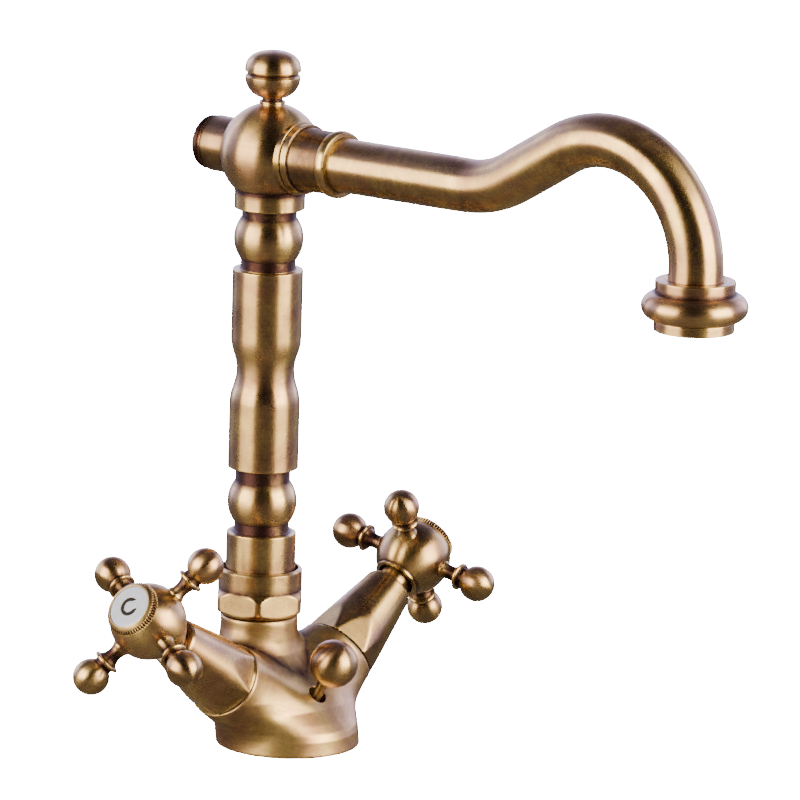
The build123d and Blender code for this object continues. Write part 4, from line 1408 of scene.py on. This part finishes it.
@dataclass
class Spout:
    """The root collar, the swan-neck tube and the outlet."""

    outlet_y: float = -176.6
    tube: float = 9.5
    bend_tube: float = 9.3
    bore: float = 8.3
    tube_start: float = 16.0
    tube_end: float = 188.0
    climb: float = 31.0
    dip_radius: float = 42.0
    crest_radius: float = 39.0
    crest: float = 236.0
    collar: float = 13.7
    collar_top: float = 194.3
    bead_height: float = 185.3
    bead_radius: float = 18.2
    bead_half: float = 4.7
    outlet: float = 177.0
    seat: float = 12.0
    collar_stain: Pair = (10.4, 12.2)

    def route(self) -> tuple[Array, Array]:
        """The tube's centre line.

        Formula: a straight run that rises slightly, an arc up to the climb angle, a straight climb, the
        crest arc down to vertical, and a straight drop.

        Returns:
            (y, z) rows, and how much each row lies in a bend.
        """
        rise, climb = np.radians(SPOUT_RISE), np.radians(self.climb)
        crest = np.array([self.outlet_y + self.crest_radius, self.crest - self.crest_radius])
        leave = crest + self.crest_radius * np.array([np.sin(climb), np.cos(climb)])
        slope, steep = -np.tan(rise), -np.tan(climb)
        base = SPOUT_ROOT_HEIGHT - slope * COLUMN_Y
        corner_y = (leave[1] - steep * leave[0] - base) / (slope - steep)
        corner = np.array([corner_y, base + slope * corner_y])
        forward = np.array([-np.cos(rise), np.sin(rise)])
        cut = self.dip_radius * np.tan((climb - rise) / 2)
        first = corner - forward * cut
        centre = first + self.dip_radius * np.array([np.sin(rise), np.cos(rise)])
        angles = np.linspace(rise, climb, 40)[:, None]
        dip = centre - self.dip_radius * np.column_stack([np.sin(angles), np.cos(angles)])
        start = np.array([COLUMN_Y, SPOUT_ROOT_HEIGHT]) + forward * self.tube_start
        run = start + (first - start) * np.linspace(0, 1, 60, endpoint=False)[:, None]
        rising = dip[-1] + (leave - dip[-1]) * np.linspace(0, 1, 24)[1:-1, None]
        sweep = np.linspace(np.pi / 2 - climb, np.pi, 120)[:, None]
        over = crest + self.crest_radius * np.column_stack([np.cos(sweep), np.sin(sweep)])
        end = np.array([self.outlet_y, self.tube_end])
        drop = over[-1] + (end - over[-1]) * np.linspace(0, 1, 12)[1:, None]
        path = np.vstack([run, dip, rising, over, drop])
        lengths = [len(part) for part in (run, dip, rising, over, drop)]
        bend = np.repeat([0.0, 1.0, 0.5, 1.0, 0.0], lengths)
        kernel = np.hanning(21) / np.hanning(21).sum()
        return path, np.convolve(np.pad(bend, 10, mode="edge"), kernel, mode="valid")

    def build(self, finishes: Finishes) -> None:
        """Make the collar, the tube and the outlet pieces."""
        collar = chain(
            (self.tube, 11.0),
            (10.0, 11.0),
            (10.0, 14.6),
            (11.3, 14.6),
            (11.3, 15.0),
            (12.35, 15.0),
            (12.35, 17.4),
            (11.45, 17.45),
            sweep_curve((11.4, 17.5), (11.0, 20.0), (10.9, 26.0), (11.05, 29.9)),
            oval_arc((11.1, 31.9), (0.8, 1.9), -85, 85, 24),
            (self.tube + 0.45, 33.8),
            (self.tube + 0.02, 33.5),
        )
        sheet = SPOUT_ROOT.turned(collar, 192, closed=True, easing=0.2, step=0.5, stain=self.collar_stain)
        make_piece("spout_collar", [sheet], "spout", finishes.brass, "spout_root_collar")
        path, bend = self.route()
        outer = self.tube + (self.bend_tube - self.tube) * bend
        tube = swept_tube(path, outer, self.bore)
        make_piece("spout_swan_neck", [tube], "spout", finishes.tube_brass, "spout_tube")
        outlet = TurningAxis((0.0, self.outlet_y, 0.0))
        bead_low, bead_foot = self.bead_height - self.bead_half, self.collar - 0.6
        bead_size = (self.bead_radius - bead_foot, self.bead_half)
        end = chain(
            (self.seat, bead_low),
            (self.collar, bead_low),
            oval_arc((bead_foot, self.bead_height), bead_size, -85, 85, 48),
            (self.collar, self.bead_height + self.bead_half),
            (self.collar, self.collar_top),
            (self.tube + 1.3, self.collar_top),
            (self.tube + 0.06, self.collar_top - 1.4),
            (self.tube + 0.06, self.tube_end),
            (self.bore, self.tube_end),
            (self.bore, self.tube_end - 1.2),
            (self.seat, self.tube_end - 1.2),
        )
        sheet = outlet.turned(end, 208, closed=True, easing=0.3, step=0.7)
        make_piece("spout_end_bead", [sheet], "spout", finishes.brass, "spout_end_collar")
        housing = chain(
            (9.8, self.outlet),
            (self.collar, self.outlet),
            (self.collar, bead_low),
            (self.seat, bead_low),
            (self.seat, 185.6),
            (10.6, 185.6),
            (10.6, 178.4),
            (9.8, 178.4),
        )
        sheet = outlet.turned(housing, 192, closed=True, easing=0.3, step=0.7)
        make_piece("outlet_housing", [sheet], "spout", finishes.brass, "aerator_housing")


@dataclass
class Valve:
    """The bonnet and the handle on one side."""

    side: Side
    first_spoke: float
    hub: Triple = HUB_CENTRE
    tilt: float = HANDLE_TILT
    hub_radius: float = 13.45
    hub_face: float = 9.3
    lip: float = 8.5
    lip_end: float = -11.6
    recess: float = 7.0
    recess_floor: float = -8.6
    sleeve: float = 5.9
    stem: float = 4.0
    stem_step: float = -22.0
    stem_end: float = -61.0
    skirt: float = 11.5
    skirt_end: float = -55.0
    bonnet_front: float = -15.4
    bonnet_end: float = -48.6
    bonnet_wide: float = 13.9
    bonnet_nose: float = 8.9
    flat_apothem: float = 12.2
    flat_turn: float = 20.0
    rim: float = 10.0
    teeth: int = 60
    tooth_depth: float = 0.6
    disc: float = 7.8
    spoke_foot: float = 3.3
    spoke_neck: float = 2.5
    spoke_ring: float = 5.0
    spoke_ring_at: float = 20.4
    spoke_ball: float = 6.45
    spoke_ball_at: float = 27.8
    ball_neck: float = 3.5

    @property
    def centre(self) -> Triple:
        """Middle of the hub."""
        return (self.side.value * self.hub[0], self.hub[1], self.hub[2])

    @property
    def direction(self) -> Triple:
        """Outward direction of the handle's axis."""
        lean = np.radians(self.tilt)
        return (self.side.value * float(np.cos(lean)), 0.0, float(np.sin(lean)))

    @property
    def axis(self) -> TurningAxis:
        """The handle's axis, with heights counted from the middle of the hub."""
        return TurningAxis(self.centre, self.direction, (0.0, -1.0, 0.0))

    def turning_piece(
        self, label: str, sheet: Sheet, finish: Material, node: str
    ) -> None:
        """Make one piece that turns with this side's handle and stands for one CAD node."""
        side = self.side
        make_piece(f"{side.label}_{label}", [sheet], side.body, finish, f"{side.label}_{node}")

    def build_bonnet(self, finishes: Finishes) -> None:
        """Make the tapered bonnet with its six milled flats, and the turning sleeve in its mouth."""
        outline = chain(
            (0, self.bonnet_end),
            (self.bonnet_wide - 0.35, self.bonnet_end),
            (self.bonnet_wide, self.bonnet_end + 0.35),
            sweep_curve(
                (self.bonnet_wide - 0.1, self.bonnet_end + 1.0),
                (self.bonnet_wide - 1.2, self.bonnet_end + 9.0),
                (self.bonnet_nose + 1.7, self.bonnet_front - 12.0),
                (self.bonnet_nose, self.bonnet_front - 1.2),
                40,
            ),
            (self.bonnet_nose - 0.5, self.bonnet_front - 0.3),
            (self.bonnet_nose - 1.4, self.bonnet_front),
            (self.sleeve + 0.35, self.bonnet_front),
            (self.sleeve + 0.35, self.bonnet_front - 6.0),
            (0, self.bonnet_front - 6.0),
        )
        shaping = flats(self.flat_apothem, 6, self.flat_turn, self.bonnet_end + 0.02, self.bonnet_front, 0.1)
        cone = self.axis.turned(outline, 320, easing=0.25, shaping=shaping, step=0.5)
        skirt = self.axis.turned(plug(self.skirt, self.skirt_end, self.bonnet_end + 0.5), 96)
        side = self.side.label
        make_piece(f"{side}_valve_bonnet", [cone, skirt], "fixed_body", finishes.brass, f"{side}_bonnet")
        stem = chain(
            (0, self.stem_end),
            (self.stem, self.stem_end),
            (self.stem, self.stem_step),
            (self.sleeve, self.stem_step),
            (self.sleeve, self.recess_floor),
            (0, self.recess_floor),
        )
        self.turning_piece("turning_sleeve", self.axis.turned(stem, 112, step=0.7), finishes.brass, "spindle")

    def build_hub(self, finishes: Finishes) -> None:
        """Make the hub ball, the knurled index ring and the enamel disc."""
        low = -float(np.degrees(np.arccos(self.lip / self.hub_radius)))
        high = float(np.degrees(np.arcsin(self.hub_face / self.hub_radius)))
        hub = chain(
            (0, self.recess_floor),
            (self.recess, self.recess_floor),
            (self.recess, self.lip_end),
            (self.lip, self.lip_end),
            arc((0, 0), self.hub_radius, low, high, 90),
            (0, self.hub_face),
        )
        sheet = self.axis.turned(hub, 208, easing=0.3, step=0.7)
        self.turning_piece("hub_ball", sheet, finishes.brass, "hub")
        disc_floor, ring_top = self.hub_face + 2.3, self.hub_face + 3.0
        ring = chain(
            (0, self.hub_face),
            (self.rim - 0.15, self.hub_face),
            (self.rim, self.hub_face + 0.15),
            (self.rim, self.hub_face + 1.65),
            (self.rim - 0.35, self.hub_face + 1.9),
            (self.disc + 0.45, ring_top),
            (self.disc + 0.02, ring_top),
            (self.disc + 0.02, disc_floor),
            (0, disc_floor),
        )
        shaping = knurl(self.tooth_depth, self.teeth, self.hub_face + 0.1, self.hub_face + 2.1)
        # The knurl's grooves are painted dark as shade through the hollow mark.
        sheet = self.axis.turned(ring, 900, easing=0.12, shaping=shaping, step=0.5, groove_shade_depth=0.4)
        self.turning_piece("knurled_ring", sheet, finishes.knurled, "index_ring")
        crown = chain(
            (0, disc_floor),
            (self.disc, disc_floor),
            (self.disc, disc_floor + 0.35),
            (self.disc - 0.7, disc_floor + 0.45),
            (0, disc_floor + 0.46),
        )
        sheet = self.axis.turned(crown, 160, easing=0.15)
        self.turning_piece("enamel_disc", sheet, finishes.enamel, "index_disc")

    def build_spokes(self, finishes: Finishes) -> None:
        """Make the four ball-ended spokes."""
        reach = float(np.degrees(np.arccos(self.ball_neck / self.spoke_ball)))
        drop = self.spoke_ball * float(np.sin(np.radians(reach)))
        outline = chain(
            (0, self.hub_radius - 3.0),
            (self.spoke_foot, self.hub_radius - 3.0),
            (self.spoke_foot, self.hub_radius + 0.1),
            (self.spoke_foot - 0.25, self.hub_radius + 0.55),
            sweep_curve(
                (self.spoke_foot - 0.5, self.hub_radius + 1.0),
                (self.spoke_neck - 0.25, self.hub_radius + 3.0),
                (self.spoke_neck + 0.1, self.hub_radius + 5.0),
                (self.spoke_ring - 1.15, self.spoke_ring_at - 0.75),
            ),
            (self.spoke_ring - 0.3, self.spoke_ring_at - 0.6),
            (self.spoke_ring, self.spoke_ring_at - 0.25),
            (self.spoke_ring, self.spoke_ring_at + 0.25),
            (self.spoke_ring - 0.4, self.spoke_ring_at + 0.6),
            (self.ball_neck + 0.1, self.spoke_ring_at + 0.9),
            (self.ball_neck, self.spoke_ball_at - drop),
            arc((0, self.spoke_ball_at), self.spoke_ball, -reach, 90, 70),
        )
        lean = np.radians(self.tilt)
        up = np.array([-self.side.value * np.sin(lean), 0, np.cos(lean)])
        for number in range(4):
            turn = np.radians(self.first_spoke + 90 * number)
            along = np.array([0, -1, 0]) * np.cos(turn) + up * np.sin(turn)
            axis = TurningAxis(self.centre, tuple(along), self.direction)
            sheet = axis.turned(outline, 112, easing=0.2, step=0.6)
            label = f"spoke_{number + 1}"
            self.turning_piece(f"ball_{label}", sheet, finishes.brass, label)

    def build(self, finishes: Finishes) -> None:
        """Make every visible piece on this side."""
        self.build_bonnet(finishes)
        self.build_hub(finishes)
        self.build_spokes(finishes)


class CarriedNodes:
    """CAD nodes that stay as they are and only get their finish."""

    def build(self, finishes: Finishes) -> None:
        """Give each CAD node the finish of its slot."""
        for entry in frame["record"]["subparts"]:
            node = frame["nodes"].get(entry["node"])
            if node is None:
                continue
            node.data.materials.clear()
            node.data.materials.append(finishes.by_slot[Slot(entry["material_slot"])])
        log.info("dressed %d CAD nodes", len(frame["nodes"]))


@dataclass
class Studio:
    """Camera, lights, pale floor and white background."""

    azimuth: float = -49.5
    elevation: float = 12.4
    roll: float = 1.68
    distance: float = 2808.4
    target: Triple = (0.0, 0.0, 130.0)
    shift: Pair = (-36.19, 6.04)
    lens: float = 360.0
    white: float = 60.0
    rear_glow: float = 2.3
    front_glow: float = 0.012

    def axes(self) -> tuple[Array, Array, Array]:
        """Right, up and backward directions of the camera."""
        a, e, r = (np.radians(v) for v in (self.azimuth, self.elevation, self.roll))
        right = np.array([np.cos(a), np.sin(a), 0])
        back = np.array([np.sin(a) * np.cos(e), -np.cos(a) * np.cos(e), np.sin(e)])
        up = np.cross(back, right)
        return np.cos(r) * right + np.sin(r) * up, -np.sin(r) * right + np.cos(r) * up, back

    def camera(self) -> None:
        """Place the camera."""
        right, up, back = self.axes()
        place = np.asarray(self.target) + self.distance * back - self.shift[0] * right - self.shift[1] * up
        data = bpy.data.cameras.new("camera")
        data.lens, data.sensor_width, data.clip_end = self.lens, 36.0, 50.0
        data.dof.use_dof = False
        camera = bpy.data.objects.new("camera", data)
        rotation = np.column_stack([right, up, back])
        camera.matrix_world = Matrix.Translation(Vector(place * MM)) @ Matrix(rotation.tolist()).to_4x4()
        bpy.context.scene.collection.objects.link(camera)
        bpy.context.scene.camera = camera

    def softbox(
        self,
        name: str,
        angle: float,
        height: float,
        reach: float,
        size: Pair,
        power: float,
        warmth: float = 0.0,
    ) -> None:
        """Place one area light that faces the tap.

        Args:
            name: Light name.
            angle: Degrees to the right of the camera as seen from the tap.
            height: Height of the light's middle in metres.
            reach: Distance from the column in metres.
            size: Width and height in metres.
            power: Power in watts.
            warmth: Share of the blue that is taken away, with a third as much green.
        """
        a = np.radians(self.azimuth)
        toward = np.array([np.sin(a), -np.cos(a), 0])
        right = np.array([np.cos(a), np.sin(a), 0])
        turn = np.radians(angle)
        place = (toward * np.cos(turn) + right * np.sin(turn)) * reach + np.array([0, 0, height])
        data = bpy.data.lights.new(name, "AREA")
        data.shape, data.size, data.size_y, data.energy = "RECTANGLE", size[0], size[1], power
        data.color = (1.0, 1.0 - 0.32 * warmth, 1.0 - warmth)
        lamp = bpy.data.objects.new(name, data)
        aim = Vector((0, 0, 0.13)) - Vector(place)
        facing = aim.to_track_quat("-Z", "Y").to_matrix().to_4x4()
        lamp.matrix_world = Matrix.Translation(Vector(place)) @ facing
        bpy.context.scene.collection.objects.link(lamp)

    def world(self) -> None:
        """White behind the tap for the camera, and a dimmer room for reflections."""
        world = bpy.data.worlds.new("room")
        bpy.context.scene.world = world
        world.use_nodes = True
        world.node_tree.nodes.clear()
        graph = Graph(world.node_tree)
        output = graph.node("ShaderNodeOutputWorld")
        path = graph.node("ShaderNodeLightPath")
        room = graph.node("ShaderNodeBackground")
        room.inputs[0].default_value = (1.0, 0.94, 1.5, 1.0)
        a = np.radians(self.azimuth)
        direction = graph.node("ShaderNodeTexCoord")
        facing = graph.node("ShaderNodeVectorMath", operation="DOT_PRODUCT")
        graph.feed(facing.inputs[0], direction.outputs["Generated"])
        facing.inputs[1].default_value = (float(np.sin(a)), -float(np.cos(a)), 0.0)
        parts = graph.node("ShaderNodeSeparateXYZ")
        graph.feed(parts.inputs[0], direction.outputs["Generated"])
        behind = graph.spread(facing.outputs["Value"], -0.5, 0.3, self.rear_glow, 0.0)
        lowered = graph.math("MULTIPLY", behind, graph.spread(parts.outputs[2], 0.3, 0.65, 1.0, 0.05))
        graph.feed(room.inputs[1], graph.math("ADD", lowered, self.front_glow))
        seen = graph.node("ShaderNodeBackground")
        seen.inputs[1].default_value = self.white
        mix = graph.node("ShaderNodeMixShader")
        graph.feed(mix.inputs[0], path.outputs["Is Camera Ray"])
        graph.feed(mix.inputs[1], room.outputs[0])
        graph.feed(mix.inputs[2], seen.outputs[0])
        graph.feed(output.inputs[0], mix.outputs[0])

    def floor(self) -> None:
        """A large pale floor that the camera sees as nearly white."""
        made = bpy.data.materials.new("pale_floor")
        made.use_nodes = True
        made.node_tree.nodes.clear()
        graph = Graph(made.node_tree)
        output = graph.node("ShaderNodeOutputMaterial")
        path = graph.node("ShaderNodeLightPath")
        matt = graph.node("ShaderNodeBsdfDiffuse")
        matt.inputs[0].default_value = (0.12, 0.12, 0.12, 1.0)
        glow = graph.node("ShaderNodeEmission")
        graph.feed(glow.inputs["Strength"], graph.math("MULTIPLY", path.outputs["Is Camera Ray"], 50.0))
        both = graph.node("ShaderNodeAddShader")
        graph.feed(both.inputs[0], matt.outputs[0])
        graph.feed(both.inputs[1], glow.outputs[0])
        graph.feed(output.inputs["Surface"], both.outputs[0])
        mesh = bpy.data.meshes.new("floor")
        half, low = 7.0, -0.0004
        corners = [(-half, -half, low), (half, -half, low), (half, half, low), (-half, half, low)]
        mesh.from_pydata(corners, [], [(0, 1, 2, 3)])
        mesh.materials.append(made)
        plane = bpy.data.objects.new("floor", mesh)
        bpy.context.scene.collection.objects.link(plane)

    def build(self) -> None:
        """Set up the whole studio."""
        self.camera()
        self.world()
        self.floor()
        self.softbox("left_softbox", -58.0, 0.35, 1.3, (1.15, 1.3), 70.0, 0.5)
        self.softbox("right_softbox", 60.0, 0.35, 1.3, (0.95, 1.3), 78.0, 0.5)
        self.softbox("rear_left", -128.0, 0.4, 1.5, (0.4, 1.4), 4.0)
        self.softbox("rear_right", 132.0, 0.4, 1.5, (0.4, 1.4), 4.0)


def main() -> None:
    """Dress the frame, build every visible piece and set up the studio."""
    finishes = Finishes()
    CarriedNodes().build(finishes)
    CastBody().build(finishes)
    PopupLift().build(finishes)
    SpoutNut().build(finishes)
    Column().build(finishes)
    SpoutHead().build(finishes)
    Spout().build(finishes)
    Valve(Side.LEFT, 60.9).build(finishes)
    Valve(Side.RIGHT, 75.5).build(finishes)
    Studio().build()


if __name__ == "__main__":
    main()
